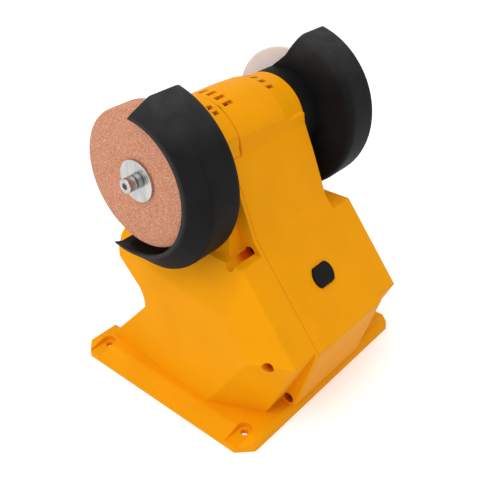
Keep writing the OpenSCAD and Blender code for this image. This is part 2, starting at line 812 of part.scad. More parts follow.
module motor_can() {
    nr = motor_nose_r();
    br = bearing_d / 2 + fit_gap;
    color(steel_colour) difference() {
        turned([
            [br, -motor_hl - nose_l], [nr, -motor_hl - nose_l], [nr, -motor_hl], [can_r, -motor_hl],
            [can_r, can_end_x], [can_r - can_wall, can_end_x], [can_r - can_wall, -motor_hl + can_wall],
            [inner_ring_r + 1.4, -motor_hl + can_wall], [inner_ring_r + 1.4, -motor_hl], [br, -motor_hl]]);
        motor_boss(thread_r, -reach, 0);
        for (a = [45 : 90 : 315]) translate([-motor_hl + 4, axis_y, axis_z]) rotate([a, 0, 0])
            translate([0, can_r - 4, -4]) cube([5, 8, 8]);
    }
}

module motor_end_cap() {
    nr = motor_nose_r();
    br = bearing_d / 2 + fit_gap;
    color(black_colour) {
        turned([
            [br, motor_hl + nose_l], [nr, motor_hl + nose_l], [nr, motor_hl], [can_r, motor_hl],
            [can_r, can_end_x], [can_r - 2.2, can_end_x], [can_r - 2.2, motor_hl - 2],
            [inner_ring_r + 1.4, motor_hl - 2], [inner_ring_r + 1.4, motor_hl], [br, motor_hl]]);
        for (s = [-1, 1]) translate([24, axis_y + s * 7 - 2, terminal_z]) cube([4, 4, 6.5]);
    }
}

module motor_magnets() {
    color([0.25, 0.25, 0.27]) difference() {
        ring(can_r - can_wall - fit_gap, magnet_in_r, core_x[0] - 3, core_x[1] + 3);
        translate([-reach / 2, axis_y - reach / 2, axis_z - magnet_apart / 2])
            cube([reach, reach, magnet_apart]);
    }
}

module motor_screws() {
    color(zinc_colour) for (s = [-1, 1])
        translate([-barrel_hl, axis_y + s * motor_screw_r, axis_z]) rotate([0, -90, 0])
            pan_screw(wall + motor_boss_l + can_wall);
}

module race(x) {
    translate([x, axis_y, axis_z]) rotate([0, 90, 0]) rotate_extrude()
        translate([ball_pitch_r, 0]) circle(r = ball_r + ball_gap, $fn = 48);
}

module bearing_outer_rings() {
    color(steel_colour) both_sides() difference() {
        ring(bearing_d / 2, outer_ring_r, bearing_x - bearing_w / 2, bearing_x + bearing_w / 2);
        race(bearing_x);
    }
}

module bearing_inner_rings() {
    color(steel_colour) both_sides() difference() {
        ring(inner_ring_r, shaft_r + fit_gap, bearing_x - bearing_w / 2, bearing_x + bearing_w / 2);
        race(bearing_x);
    }
}

module ball_cages() {
    gap = (outer_ring_r - inner_ring_r) / 2 - 0.3;
    color(steel_colour) both_sides() {
        ring(ball_pitch_r + gap, ball_pitch_r - gap, bearing_x - 0.8, bearing_x + 0.8);
        for (i = [0 : ball_count - 1])
            translate([bearing_x, axis_y, axis_z]) rotate([i * 360 / ball_count, 0, 0])
            translate([0, ball_pitch_r, 0]) sphere(r = ball_r, $fn = 48);
    }
}

module carbon_brushes() {
    r0 = commutator_r + brush_gap;
    color([0.2, 0.2, 0.2]) for (s = [-1, 1])
        translate([brush_x - brush_size.x / 2, axis_y + (s > 0 ? r0 : -r0 - brush_size.y),
            axis_z - brush_size.z / 2])
            cube(brush_size);
}

module brush_arms() {
    r0 = commutator_r + brush_gap + brush_size.y;
    r1 = can_r - 2.2 - 0.3;
    color(brass_colour) for (s = [-1, 1])
        translate([can_end_x + 0.3, axis_y + (s > 0 ? r0 : -r1), axis_z - 1.8]) cube([0.8, r1 - r0, 3.6]);
}

module motor_shaft() {
    color(steel_colour) axle(shaft_r, -flange_x - 2, flange_x + 2);
}

module armature_core() {
    color([0.45, 0.45, 0.48]) difference() {
        ring(armature_r, shaft_r + fit_gap, core_x[0], core_x[1]);
        for (i = [0 : slot_count - 1])
            coil_slot(i, slot_w, slot_in_r, armature_r + 1, core_x[0] - 1, core_x[1] + 1);
    }
}

module coil_slot(i, w, r0, r1, x0, x1) {
    translate([x0, axis_y, axis_z]) rotate([i * 360 / slot_count, 0, 0])
        translate([0, r0, -w / 2]) cube([x1 - x0, r1 - r0, w]);
}

module armature_windings() {
    r0 = slot_in_r + coil_gap;
    r1 = armature_r - 1;
    color(copper_colour) {
        for (i = [0 : slot_count - 1])
            coil_slot(i, slot_w - 2 * coil_gap, r0, r1 - 0.4, core_x[0] - 1, core_x[1] + 1);
        ring(r1, r0, core_x[0] - coil_gap - coil_end_l, core_x[0] - coil_gap);
        ring(r1, r0, core_x[1] + coil_gap, core_x[1] + coil_gap + coil_end_l);
    }
}

module commutator() {
    color(copper_colour) difference() {
        ring(commutator_r, shaft_r + fit_gap, commutator_x[0], commutator_x[1]);
        for (i = [0 : slot_count - 1])
            coil_slot(i, 0.5, commutator_r - 0.7, commutator_r + 1,
                commutator_x[0] + 1.5, commutator_x[1] + 1);
    }
}

module cooling_fan() {
    blade_r = can_r - can_wall - 1.6;
    color(black_colour) {
        ring(6, shaft_r + fit_gap, fan_x[0], fan_x[1]);
        ring(blade_r, 5, fan_x[1] - 1, fan_x[1]);
        for (i = [0 : 6]) translate([fan_x[0], axis_y, axis_z]) rotate([i * 360 / 7, 0, 0])
            translate([0, 5, -0.6]) cube([fan_x[1] - fan_x[0] - 0.5, blade_r - 5.5, 1.2]);
    }
}

module arbor() {
    bore = shaft_r + fit_gap;
    spigot = wheel_bore / 2 - fit_gap;
    difference() {
        turned([
            [0, hub_x], [6.5, hub_x], [6.5, flange_x], [washer_r, flange_x], [washer_r, wheel_in_x],
            [spigot, wheel_in_x], [spigot, wheel_out_x - 0.3], [0, wheel_out_x - 0.3]]);
        axle(bore, hub_x - 1, flange_x + 2 + fit_gap);
        axle(wheel_thread_r + fit_gap, flange_x + 5, wheel_out_x);
        translate([hub_x + 4, axis_y, axis_z]) cylinder(r = thread_r, h = 9);
    }
}

wheel_thread_r = 2;

module left_arbor() {
    color(steel_colour) mirror([1, 0, 0]) arbor();
}

module right_arbor() {
    color(steel_colour) arbor();
}

module arbor_set_screws() {
    color(black_colour) both_sides()
        translate([hub_x + 4, axis_y, axis_z + shaft_r + fit_gap]) difference() {
        cylinder(r = screw_r, h = 3);
        translate([0, 0, 1.5]) cylinder(r = 0.8, h = 3, $fn = 6);
    }
}

module wheel() {
    e = 0.6;
    turned([
        [wheel_bore / 2, wheel_in_x], [wheel_r - e, wheel_in_x], [wheel_r, wheel_in_x + e],
        [wheel_r, wheel_out_x - e], [wheel_r - e, wheel_out_x], [wheel_bore / 2, wheel_out_x]]);
}

module grinding_wheel() {
    color([0.83, 0.55, 0.43]) mirror([1, 0, 0]) wheel();
}

module polishing_wheel() {
    rim_r = wheel_r - 0.8;
    face_r = rim_r - felt_taper;
    near_x = guard_x + guard_t + felt_gap;
    color([0.89, 0.84, 0.80]) turned([
        [wheel_bore / 2, wheel_in_x], [washer_r + 2, wheel_in_x], [washer_r + 2, near_x],
        [rim_r - 0.8, near_x], [rim_r, near_x + 0.8], [face_r + 0.4, wheel_out_x - 1.5],
        [face_r - 1.5, wheel_out_x], [wheel_bore / 2, wheel_out_x]]);
}

module outer_washer() {
    ring(washer_r, wheel_thread_r + 0.2, wheel_out_x, washer_out_x);
}

module left_outer_washer() {
    color(steel_colour) mirror([1, 0, 0]) outer_washer();
}

module right_outer_washer() {
    color(steel_colour) outer_washer();
}

module spring_washers() {
    color(zinc_colour) both_sides() difference() {
        ring(4.1, wheel_thread_r + 0.2, washer_out_x, screw_seat_x);
        translate([washer_out_x - 1, axis_y, axis_z - 0.4]) cube([4, 9, 0.8]);
    }
}

module wheel_screw() {
    collar_l = 1.7;
    socket_head_l = 4.3;
    difference() {
        union() {
            axle(wheel_thread_r, wheel_in_x + 5, screw_seat_x + 0.1);
            axle(4, screw_seat_x, screw_seat_x + collar_l);
            axle(3.5, screw_seat_x + collar_l - 0.1, screw_seat_x + collar_l + socket_head_l);
        }
        translate([screw_seat_x + collar_l + socket_head_l - 2.2, axis_y, axis_z])
            rotate([0, 90, 0]) cylinder(r = 1.75, h = 5, $fn = 6);
    }
}

module left_wheel_screw() {
    color(steel_colour) mirror([1, 0, 0]) wheel_screw();
}

module right_wheel_screw() {
    color(steel_colour) wheel_screw();
}

module power_button() {
    color(black_colour) on_panel() {
        translate([0, 0, button_foot]) linear_extrude(button_out - button_foot) button_outline(0);
        translate([0, 0, flange_top - flange_h]) linear_extrude(flange_h) button_outline(button_flange);
        translate([0, 0, stem_end]) cylinder(r = stem_r, h = button_foot - stem_end + 1);
    }
}

module switch_body() {
    color(black_colour) on_panel() difference() {
        translate([-switch_size.x / 2, -switch_size.y / 2, switch_top - switch_size.z]) cube(switch_size);
        translate([0, 0, stem_end - button_travel - 0.5]) cylinder(r = stem_r + 0.4, h = 20);
    }
}

module control_board() {
    color([0.1, 0.35, 0.2]) difference() {
        translate([-board_size.x / 2, board_face_y, board_z]) cube(board_size);
        for (p = board_screws_at)
            translate([p[0], board_back_y + 1, p[1]]) rotate([90, 0, 0]) cylinder(r = through_r, h = 5);
    }
}

module board_capacitor() {
    color(black_colour) translate([0, board_face_y, board_z + 9]) rotate([90, 0, 0])
        cylinder(r = 5, h = 12);
}

module power_transistor() {
    color(black_colour) translate([8, board_face_y - 4.5, board_z + 1.5]) cube([8, 4.5, 10]);
}

module board_screws() {
    color(zinc_colour) for (p = board_screws_at)
        translate([p[0], board_face_y, p[1]]) rotate([90, 0, 0])
            pan_screw(board_size.y + post_l + 0.4, hr = 2.4, hh = 1.6);
}

module battery_dock() {
    color(black_colour) difference() {
        union() {
            translate([-dock_size.x / 2, dock_y, bay_top - dock_size.z]) cube(dock_size);
            both_sides() {
                translate([rail_x[0], dock_y, bay_top - dock_size.z - rail_h])
                    cube([rail_x[1] - rail_x[0], dock_size.y, rail_h + 1]);
                translate([rail_x[0], dock_y, bay_top - dock_size.z - rail_h])
                    cube([rail_x[1] - rail_x[0] + rail_lip, dock_size.y, rail_lip_h]);
            }
        }
        translate([-latch_size.x / 2, dock_y + dock_size.y - latch_in - latch_size.y,
            bay_top - dock_size.z - 1])
            cube([latch_size.x, latch_size.y, dock_size.z]);
        for (p = dock_screws_at) translate([p[0], p[1], 0]) {
            cylinder(r = through_r, h = bay_top + 1);
            cylinder(r = head_r + 0.2, h = bay_top - dock_size.z + head_h + 0.1);
        }
    }
}

module dock_screws() {
    color(zinc_colour) for (p = dock_screws_at)
        translate([p[0], p[1], bay_top - dock_size.z + head_h + 0.1]) rotate([180, 0, 0])
            pan_screw(dock_size.z - head_h - 0.1 + dock_boss_h - 2);
}

module terminal_block() {
    color(black_colour) difference() {
        translate([-block_size.x / 2, bay_front, block_z]) cube(block_size);
        for (i = [-1 : 1])
            translate([i * blade_pitch - blade_size.x / 2 - 0.1, bay_front - 1, blade_z - 0.1])
            cube([blade_size.x + 0.2, block_size.y + 2, blade_size.z + 0.2]);
    }
}

module terminal_blades() {
    color(brass_colour) for (i = [-1 : 1])
        translate([i * blade_pitch - blade_size.x / 2, blade_y, blade_z]) cube(blade_size);
}

// A lead: a smooth curve through the route's points, swept with an eight-sided section
function bend(p, i, t) =
    let (n = len(p) - 1, a = p[max(i - 1, 0)], b = p[i], c = p[min(i + 1, n)], d = p[min(i + 2, n)])
    0.5 * (2 * b + (c - a) * t + (2 * a - 5 * b + 4 * c - d) * t * t + (3 * b - a - 3 * c + d) * t * t * t);
function curve(p) = concat(
    [for (i = [0 : len(p) - 2], k = [0 : lead_steps - 1]) bend(p, i, k / lead_steps)],
    [p[len(p) - 1]]);

module lead(route) {
    pts = curve(route);
    n = len(pts);
    side = [0.9, 0.35, 0.2];
    rings = [for (i = [0 : n - 1])
        let (t = i == 0 ? route[1] - route[0]
                : i == n - 1 ? route[len(route) - 1] - route[len(route) - 2] : pts[i + 1] - pts[i - 1],
            w = unit(t), u = unit(cross(side, w)), v = cross(w, u))
        for (k = [0 : lead_sides - 1])
            let (a = k * 360 / lead_sides)
            pts[i] + lead_d / 2 * (cos(a) * u + sin(a) * v)];
    walls = [for (i = [0 : n - 2], k = [0 : lead_sides - 1])
        let (a = i * lead_sides + k, b = i * lead_sides + (k + 1) % lead_sides)
        each [[a, a + lead_sides, b + lead_sides], [a, b + lead_sides, b]]];
    first = [for (k = [0 : lead_sides - 1]) k];
    last = [for (k = [lead_sides - 1 : -1 : 0]) (n - 1) * lead_sides + k];
    polyhedron(points = rings, faces = concat(walls, [first, last]));
}

module positive_lead() {
    color([0.75, 0.08, 0.07]) lead(positive_route);
}

module negative_lead() {
    color(black_colour) lead(negative_route);
}

module switch_lead_a() {
    color([0.75, 0.08, 0.07]) lead(switch_route);
}

module switch_lead_b() {
    color([0.9, 0.9, 0.9]) lead([for (p = switch_route) mirrored(p)]);
}

module motor_lead_a() {
    color([0.75, 0.08, 0.07]) lead(motor_route_a);
}

module motor_lead_b() {
    color(black_colour) lead(motor_route_b);
}

base_plate();
main_housing();
left_cover();
cover_screws();
base_screws();
left_guard();
right_guard();
guard_screws();
motor_can();
motor_end_cap();
motor_magnets();
motor_screws();
bearing_outer_rings();
bearing_inner_rings();
ball_cages();
carbon_brushes();
brush_arms();
motor_shaft();
armature_core();
armature_windings();
commutator();
cooling_fan();
left_arbor();
right_arbor();
arbor_set_screws();
grinding_wheel();
polishing_wheel();
left_outer_washer();
right_outer_washer();
spring_washers();
left_wheel_screw();
right_wheel_screw();
power_button();
switch_body();
control_board();
board_capacitor();
power_transistor();
board_screws();
battery_dock();
dock_screws();
terminal_block();
terminal_blades();
positive_lead();
negative_lead();
switch_lead_a();
switch_lead_b();
motor_lead_a();
motor_lead_b();
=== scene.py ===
"""Dresses a small two-wheel bench grinder: rounded mouldings, wheels, fittings, finishes and a studio."""
import math

import bmesh
import bpy
import numpy as np
from bpy.props import FloatProperty, FloatVectorProperty, PointerProperty
from mathutils import Matrix, Vector
from mathutils.bvhtree import BVHTree


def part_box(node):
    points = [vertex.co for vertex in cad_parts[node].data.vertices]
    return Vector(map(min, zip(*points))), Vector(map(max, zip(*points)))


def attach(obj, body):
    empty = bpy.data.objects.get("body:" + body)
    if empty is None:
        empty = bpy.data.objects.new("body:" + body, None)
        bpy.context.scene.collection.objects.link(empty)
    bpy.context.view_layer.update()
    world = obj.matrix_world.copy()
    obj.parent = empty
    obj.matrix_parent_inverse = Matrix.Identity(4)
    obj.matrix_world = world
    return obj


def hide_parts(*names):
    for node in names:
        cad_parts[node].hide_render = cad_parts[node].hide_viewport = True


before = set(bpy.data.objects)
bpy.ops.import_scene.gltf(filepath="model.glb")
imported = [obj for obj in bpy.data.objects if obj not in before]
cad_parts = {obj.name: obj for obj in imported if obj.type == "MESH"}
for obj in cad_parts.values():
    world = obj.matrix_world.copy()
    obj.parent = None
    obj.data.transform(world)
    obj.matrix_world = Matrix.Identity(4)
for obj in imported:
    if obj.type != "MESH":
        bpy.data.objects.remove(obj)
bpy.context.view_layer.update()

bl_info = {
    "name": "Bench grinder",
    "version": (1, 0, 0),
    "blender": (4, 5, 0),
    "location": "View3D > Sidebar > Grinder",
    "description": "Rounds, details and finishes the mouldings, wheels and fittings of a small bench grinder",
    "category": "Object",
}

MM = 0.001
PLATE_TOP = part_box("main_housing")[0].z
WHEEL_LOW, WHEEL_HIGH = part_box("grinding_wheel")
AXIS_Y = (WHEEL_LOW.y + WHEEL_HIGH.y) / 2
AXIS_Z = (WHEEL_LOW.z + WHEEL_HIGH.z) / 2
SIDES = (("left", -1), ("right", 1))
FLAT_ANGLE = math.radians(0.4)
RIDGE_ANGLE = math.radians(9)

# Joint between the housing and its cover: two upright planes and the level of the step between them
PARTING_X = (-30.9 * MM, -23.0 * MM)
PARTING_Z = AXIS_Z + 4 * MM

# Bores of the cover screws, which run along X: y, z, mouth and seat of each. Their walls take a painted shade
BORE_RADIUS = 3.2 * MM
COVER_BORES = np.array([
    (-34.9, 100.8, -42.0, -27.9),
    (-67.0, 52.0, -57.0, -27.9),
    (-65.0, 11.0, -47.0, -24.9),
]) * MM

# Lamps: side of the square and place, in metres, and the point that they face
KEY_LAMP = (1.2, (-0.35, 0.0, 1.15))
SIDE_LAMP = (0.9, (-1.05, 0.1, 0.6))
LAMP_AIM = Vector((0.0, 0.0, 0.08))

# Camera: width of the sensor in millimetres, and the nearest distance seen in metres
SENSOR_WIDTH = 36.0
NEAREST_SEEN = 0.01


def length(name, description, millimetres):
    """A size property that shows as a length."""
    return FloatProperty(name=name, description=description, default=millimetres * MM, min=0.0,
                         precision=5, unit="LENGTH")


def colour(name, description, value):
    """A linear colour property."""
    return FloatVectorProperty(name=name, description=description, default=value, size=3, min=0.0, max=1.0,
                               subtype="COLOR")


class GrinderSizes(bpy.types.PropertyGroup):
    """Sizes of the roundings and of the wheels' surface."""
    mould_round: length("Mould edges", "Rounding of the housing's outer edges", 1.1)
    facet_round: length("Facet edges", "Rounding between the housing's shallow facets", 1.0)
    parting_round: length("Parting edges", "Rounding along the joint between the housing's halves", 0.7)
    back_round: length("Back edges", "Rounding of the housing's back above the hollow", 2.2)
    plate_round: length("Plate edges", "Rounding of the base plate's edges", 0.7)
    guard_round: length("Guard edges", "Rounding of the guards' edges", 0.4)
    guard_swell: length("Guard swell",
                        "How far the guards' round wall stands out of the plain solid, at the front", 2.0)
    wheel_round: length("Wheel edges", "Rounding of the grinding wheel's rim", 1.0)
    grain_depth: length("Grain depth", "Height of the abrasive grains", 0.05)
    felt_round: length("Felt edges", "Rounding of the felt wheel's rim", 1.2)
    metal_round: length("Metal edges", "Rounding of the turned washers and screws", 0.3)
    button_round: length("Button edge", "Rounding of the button's rim", 0.5)


class GrinderColours(bpy.types.PropertyGroup):
    """Colours of the finishes."""
    housing: colour("Housing", "Moulded housing and base plate", (0.86, 0.335, 0.002))
    # dust and painted light: grey of the dust and painted top light on the guards' tops, also the painted
    # highlight on the lips' rims
    dust_and_highlight: colour("Dust", "Film of dust on top of the guards", (0.042, 0.042, 0.043))
    # painted shade: deep red for the shade inside the screw bores and along the barrel's joint
    painted_shade: colour("Bores", "Thick plastic inside the screw bores", (0.70, 0.085, 0.001))
    guard: colour("Guards", "Textured guard plastic", (0.0068, 0.0068, 0.0069))
    button: colour("Black plastic", "Button, dock and switch", (0.012, 0.012, 0.013))
    grain: colour("Abrasive", "Main tone of the abrasive grains", (0.59, 0.255, 0.152))
    grain_dark: colour("Dark grains", "Darkest abrasive grains", (0.40, 0.13, 0.065))
    grain_pale: colour("Pale grains", "Palest abrasive grains", (0.80, 0.48, 0.34))
    felt: colour("Felt", "Polishing felt", (0.80, 0.68, 0.62))
    steel: colour("Steel", "Bright turned steel", (0.52, 0.52, 0.51))
    zinc: colour("Zinc", "Zinc-plated screws", (0.52, 0.53, 0.54))
    oxide: colour("Browned steel", "Cover screws", (0.09, 0.025, 0.012))
    # painted shade: the orange-brown of the shade seen through the vents, given to the motor can
    vent_shade: colour("Varnish", "Varnished motor can behind the vents", (0.34, 0.12, 0.015))
    iron: colour("Iron", "Motor iron and magnets", (0.10, 0.10, 0.11))
    copper: colour("Copper", "Enamelled wire and commutator bars", (0.62, 0.24, 0.09))
    brass: colour("Brass", "Contacts and brush arms", (0.66, 0.42, 0.12))
    nylon: colour("Nylon", "Ball cages and fan", (0.72, 0.70, 0.64))
    board: colour("Board", "Circuit board lacquer", (0.012, 0.11, 0.045))
    red_lead: colour("Red lead", "Insulation of the positive lead", (0.55, 0.012, 0.010))
    white_lead: colour("White lead", "Insulation of the switch leads", (0.72, 0.72, 0.70))
    floor: colour("Floor", "Studio floor", (0.93, 0.93, 0.93))


class GrinderStudio(bpy.types.PropertyGroup):
    """Camera and light of the studio."""
    camera_place: FloatVectorProperty(name="Camera place", description="Where the camera stands", size=3,
                                      default=(-0.28601, -0.24477, 0.32446), subtype="TRANSLATION",
                                      unit="LENGTH", precision=5)
    camera_turn: FloatProperty(name="Azimuth", description="Turn of the camera about the upright",
                               default=math.radians(-49.36), unit="ROTATION")
    camera_tilt: FloatProperty(name="Elevation", description="How far the camera looks down",
                               default=math.radians(33.31), unit="ROTATION")
    camera_roll: FloatProperty(name="Roll", description="Turn of the camera about its line of sight",
                               default=math.radians(-0.15), unit="ROTATION")
    camera_lens: FloatProperty(name="Lens", description="Focal length on a 36 mm sensor", default=55.04,
                               unit="CAMERA")
    ambient: FloatProperty(name="Ambient", description="Strength of the even light all around", default=0.74,
                           min=0.0)
    key: FloatProperty(name="Key light", description="Power of the large lamp above, in watts", default=5.6,
                       min=0.0, unit="POWER")
    side: FloatProperty(name="Side light", description="Power of the large lamp at the left, in watts",
                        default=2.2, min=0.0, unit="POWER")


def settings():
    """The scene's three property groups."""
    scene = bpy.context.scene
    return scene.grinder_sizes, scene.grinder_colours, scene.grinder_studio


def shade(tone, factor):
    """A colour times a factor, as four numbers."""
    return tuple(min(1.0, channel * factor) for channel in tone) + (1.0,)


class Finish:
    """One node material around a Principled shader; every pattern reads Object coordinates."""

    def __init__(self, name, **sockets):
        self.material = bpy.data.materials.new(name)
        self.material.use_nodes = True
        self.tree = self.material.node_tree
        self.shader = self.tree.nodes["Principled BSDF"]
        self.place = self.add("ShaderNodeTexCoord").outputs["Object"]
        for socket, value in sockets.items():
            self.shader.inputs[socket.replace("_", " ")].default_value = value

    def add(self, kind, inputs=(), **options):
        """A node with its options set and its inputs linked or filled."""
        node = self.tree.nodes.new(kind)
        for option, value in options.items():
            setattr(node, option, value)
        for socket, value in dict(inputs).items():
            if isinstance(value, bpy.types.NodeSocket):
                self.tree.links.new(value, node.inputs[socket])
            else:
                node.inputs[socket].default_value = value
        return node

    def feed(self, socket, value):
        """Links a pattern to one of the shader's sockets."""
        self.tree.links.new(value, self.shader.inputs[socket])

    def noise(self, scale, detail=2.0, stretch=None):
        """Cloudy noise, scale in waves a metre; stretch squeezes it along an axis."""
        where = self.place
        if stretch:
            where = self.add("ShaderNodeMapping", {"Vector": where, "Scale": stretch}).outputs["Vector"]
        node = self.add("ShaderNodeTexNoise", {"Vector": where, "Scale": scale, "Detail": detail})
        return node.outputs["Fac"]

    def cells(self, scale):
        """Voronoi cells: distance from the cell's middle, and one random number a cell."""
        node = self.add("ShaderNodeTexVoronoi", {"Vector": self.place, "Scale": scale})
        lot = self.add("ShaderNodeSeparateColor", {"Color": node.outputs["Color"]}).outputs["Red"]
        return node.outputs["Distance"], lot

    def from_axis(self, y=None, z=None):
        """Distance of a point from a line along X, the wheel axis unless another is given."""
        y, z = (AXIS_Y, AXIS_Z) if y is None else (y, z)
        moved = self.add("ShaderNodeMapping", {"Vector": self.place, "Location": (0.0, -y, -z),
                                               "Scale": (0.0, 1.0, 1.0)}).outputs["Vector"]
        return self.add("ShaderNodeVectorMath", {"Vector": moved}, operation="LENGTH").outputs["Value"]

    def along(self, axis):
        """One of a point's three coordinates."""
        return self.add("ShaderNodeSeparateXYZ", {"Vector": self.place}).outputs[axis]

    def reckon(self, operation, *values):
        """One step of arithmetic on one or two patterns."""
        return self.add("ShaderNodeMath", dict(enumerate(values)), operation=operation).outputs["Value"]

    def combine(self, operation, *values):
        """Patterns multiplied together, or the greatest of them."""
        result = values[0]
        for value in values[1:]:
            result = self.reckon(operation, result, value)
        return result

    def bore_shade_mask(self, radius, bores):
        """Mask of the painted shade in the bores: 1 on the walls of bores along X down to their seats, fading
        out towards the mouths, 0 elsewhere.
        """
        skin, skin_end = radius + 0.05 * MM, radius + 0.4 * MM
        fade, past_seat, past_seat_end = 5 * MM, 2.0 * MM, 2.5 * MM
        x = self.along("X")
        masks = []
        for y, z, mouth, seat in bores:
            wall = self.spread(self.from_axis(y, z), 1.0, 0.0, skin, skin_end)
            depth = self.spread(x, 0.0, 1.0, mouth, mouth + fade)
            left = self.spread(x, 1.0, 0.0, seat + past_seat, seat + past_seat_end)
            masks.append(self.combine("MULTIPLY", wall, depth, left))
        return self.combine("MAXIMUM", *masks)

    def joint_shade_mask(self):
        """Mask of the painted shade along the joint that runs over the barrel: a faint line, fading out
        beside it, 0 elsewhere.
        """
        strength, half_width, faded, rise = 0.6, 0.4 * MM, 1.0 * MM, 1.0 * MM
        apart = self.reckon("ABSOLUTE", self.reckon("SUBTRACT", self.along("X"), PARTING_X[1]))
        beside = self.spread(apart, strength, 0.0, half_width, faded)
        above = self.spread(self.along("Z"), 0.0, 1.0, PARTING_Z, PARTING_Z + rise)
        return self.combine("MULTIPLY", beside, above)

    def rings(self, scale, detail=3.0):
        """Noise in the distance from the wheel axis: the fine rings that a lathe tool leaves."""
        return self.add("ShaderNodeTexNoise", {"W": self.from_axis(), "Scale": scale, "Detail": detail},
                        noise_dimensions="1D").outputs["Fac"]

    def bands(self, scale, direction="X", distortion=0.0):
        """Even stripes across one axis."""
        return self.add("ShaderNodeTexWave", {"Vector": self.place, "Scale": scale, "Distortion": distortion,
                                              "Detail": 1.0}, bands_direction=direction).outputs["Fac"]

    def ramp(self, value, *stops):
        """Colours at given places of a pattern."""
        node = self.add("ShaderNodeValToRGB", {"Fac": value})
        row = node.color_ramp.elements
        while len(row) < len(stops):
            row.new(0.5)
        for element, (position, tone) in zip(row, stops):
            element.position = position
            element.color = tone
        return node.outputs["Color"]

    def drift(self, value, tone, darker, paler):
        """A tone that runs with a pattern from a darker to a paler shade of itself."""
        return self.ramp(value, (0.3, shade(tone, darker)), (0.7, shade(tone, paler)))

    def blend(self, amount, first, second):
        """Mixes two colours by a pattern."""
        node = self.add("ShaderNodeMix", data_type="RGBA")
        for name, value in zip(("Factor", "A", "B"), (amount, first, second)):
            socket = next(s for s in node.inputs if s.name == name and s.enabled)
            if isinstance(value, bpy.types.NodeSocket):
                self.tree.links.new(value, socket)
            else:
                socket.default_value = value
        return next(s for s in node.outputs if s.enabled)

    def spread(self, value, low, high, start=0.3, end=0.7):
        """A pattern's range from start to end mapped to the range from low to high."""
        node = self.add("ShaderNodeMapRange", {"Value": value, "From Min": start, "From Max": end,
                                               "To Min": low, "To Max": high})
        return node.outputs["Result"]

    def bump(self, height, millimetres, strength=1.0):
        """Raises the surface by a pattern."""
        raised = {"Height": height, "Distance": millimetres * MM, "Strength": strength}
        self.feed("Normal", self.add("ShaderNodeBump", raised).outputs["Normal"])


def moulded_plastic(name, tone, low=0.42, high=0.54, grain=0.02, painted_shade=None):
    """Satin moulded plastic: slow tone drift, fine eroded grain in gloss and height. Where a painted shade
    colour is given, it is painted as shade on the walls of the screw bores, and in part along the joint over
    the barrel."""
    finish = Finish(name, Specular_IOR_Level=0.045)
    skin = finish.drift(finish.noise(38.0, 3.0), tone, 0.965, 1.03)
    if painted_shade:
        # painted shade inside the screw bores and along the joint over the barrel
        shaded = finish.combine("MAXIMUM", finish.bore_shade_mask(BORE_RADIUS, COVER_BORES), finish.joint_shade_mask())
        skin = finish.blend(shaded, skin, shade(painted_shade, 1.0))
    finish.feed("Base Color", skin)
    fine = finish.noise(2300.0)
    finish.feed("Roughness", finish.spread(fine, low, high))
    finish.bump(fine, grain)
    return finish.material


def guard_plastic(tone, dust_and_highlight, front):
    """Matt black plastic with spark texture, a few pale specks, a film towards the top that is dust and
    painted top light together, and a painted highlight along the rim at the front of the lip."""
    dust_light_from, dust_light_to = AXIS_Z + 26 * MM, AXIS_Z + 50 * MM
    lip_highlight_from, lip_highlight_to = front - 0.9 * MM, front - 0.1 * MM
    finish = Finish("guard_grain", Specular_IOR_Level=0.09)
    base = finish.drift(finish.noise(45.0, 4.0), tone, 0.75, 1.35)
    # dust and painted top light: the guards turn lighter towards the top
    height = finish.spread(finish.along("Z"), 0.0, 1.0, dust_light_from, dust_light_to)
    dust_and_top_light = finish.combine("MULTIPLY", height, finish.spread(finish.noise(120.0, 5.0), 0.45, 1.0))
    # painted highlight along the rim at the front of the lip
    lip_highlight = finish.spread(finish.reckon("ABSOLUTE", finish.along("X")), 0.0, 0.7, lip_highlight_from, lip_highlight_to)
    base = finish.blend(finish.combine("MAXIMUM", dust_and_top_light, lip_highlight), base, shade(dust_and_highlight, 1.0))
    lot = finish.cells(2200.0)[1]
    specks = finish.spread(lot, 0.0, 0.5, 0.9985, 1.0)
    finish.feed("Base Color", finish.blend(specks, base, shade(tone, 9.0)))
    fine = finish.noise(1700.0, 3.0)
    finish.feed("Roughness", finish.spread(fine, 0.50, 0.68))
    finish.bump(fine, 0.05)
    return finish.material


def bonded_abrasive(tone, dark, pale):
    """Bonded grains: each cell has its own tone, from dark pits to pale crystals, and a raised edge. A smear
    of bond evens out the tone here and there."""
    finish = Finish("bonded_abrasive", Specular_IOR_Level=0.25)
    far, lot = finish.cells(2500.0)
    grains = finish.ramp(lot, (0.0, shade(dark, 0.8)), (0.22, shade(tone, 0.74)), (0.5, shade(tone, 1.0)),
                         (0.8, shade(tone, 1.2)), (0.97, shade(pale, 1.0)))
    smear = finish.spread(finish.noise(260.0, 4.0), 0.0, 0.4, 0.35, 0.75)
    finish.feed("Base Color", finish.blend(smear, grains, shade(tone, 1.05)))
    finish.feed("Roughness", finish.spread(lot, 0.75, 0.98, 0.0, 1.0))
    finish.bump(far, 0.16, 0.7)
    return finish.material


def pressed_felt(tone):
    """Pressed felt: soft cloudy tone and a mat of short fibres."""
    finish = Finish("pressed_felt", Specular_IOR_Level=0.1, Sheen_Weight=0.25, Sheen_Roughness=0.6)
    fibres = finish.noise(1500.0, 6.0, (1.0, 0.35, 1.0))
    base = finish.drift(finish.noise(90.0, 3.0), tone, 0.95, 1.04)
    finish.feed("Base Color", finish.blend(finish.spread(fibres, 0.0, 0.3), base, shade(tone, 0.86)))
    finish.feed("Roughness", finish.spread(fibres, 0.85, 1.0))
    finish.bump(fibres, 0.08)
    return finish.material


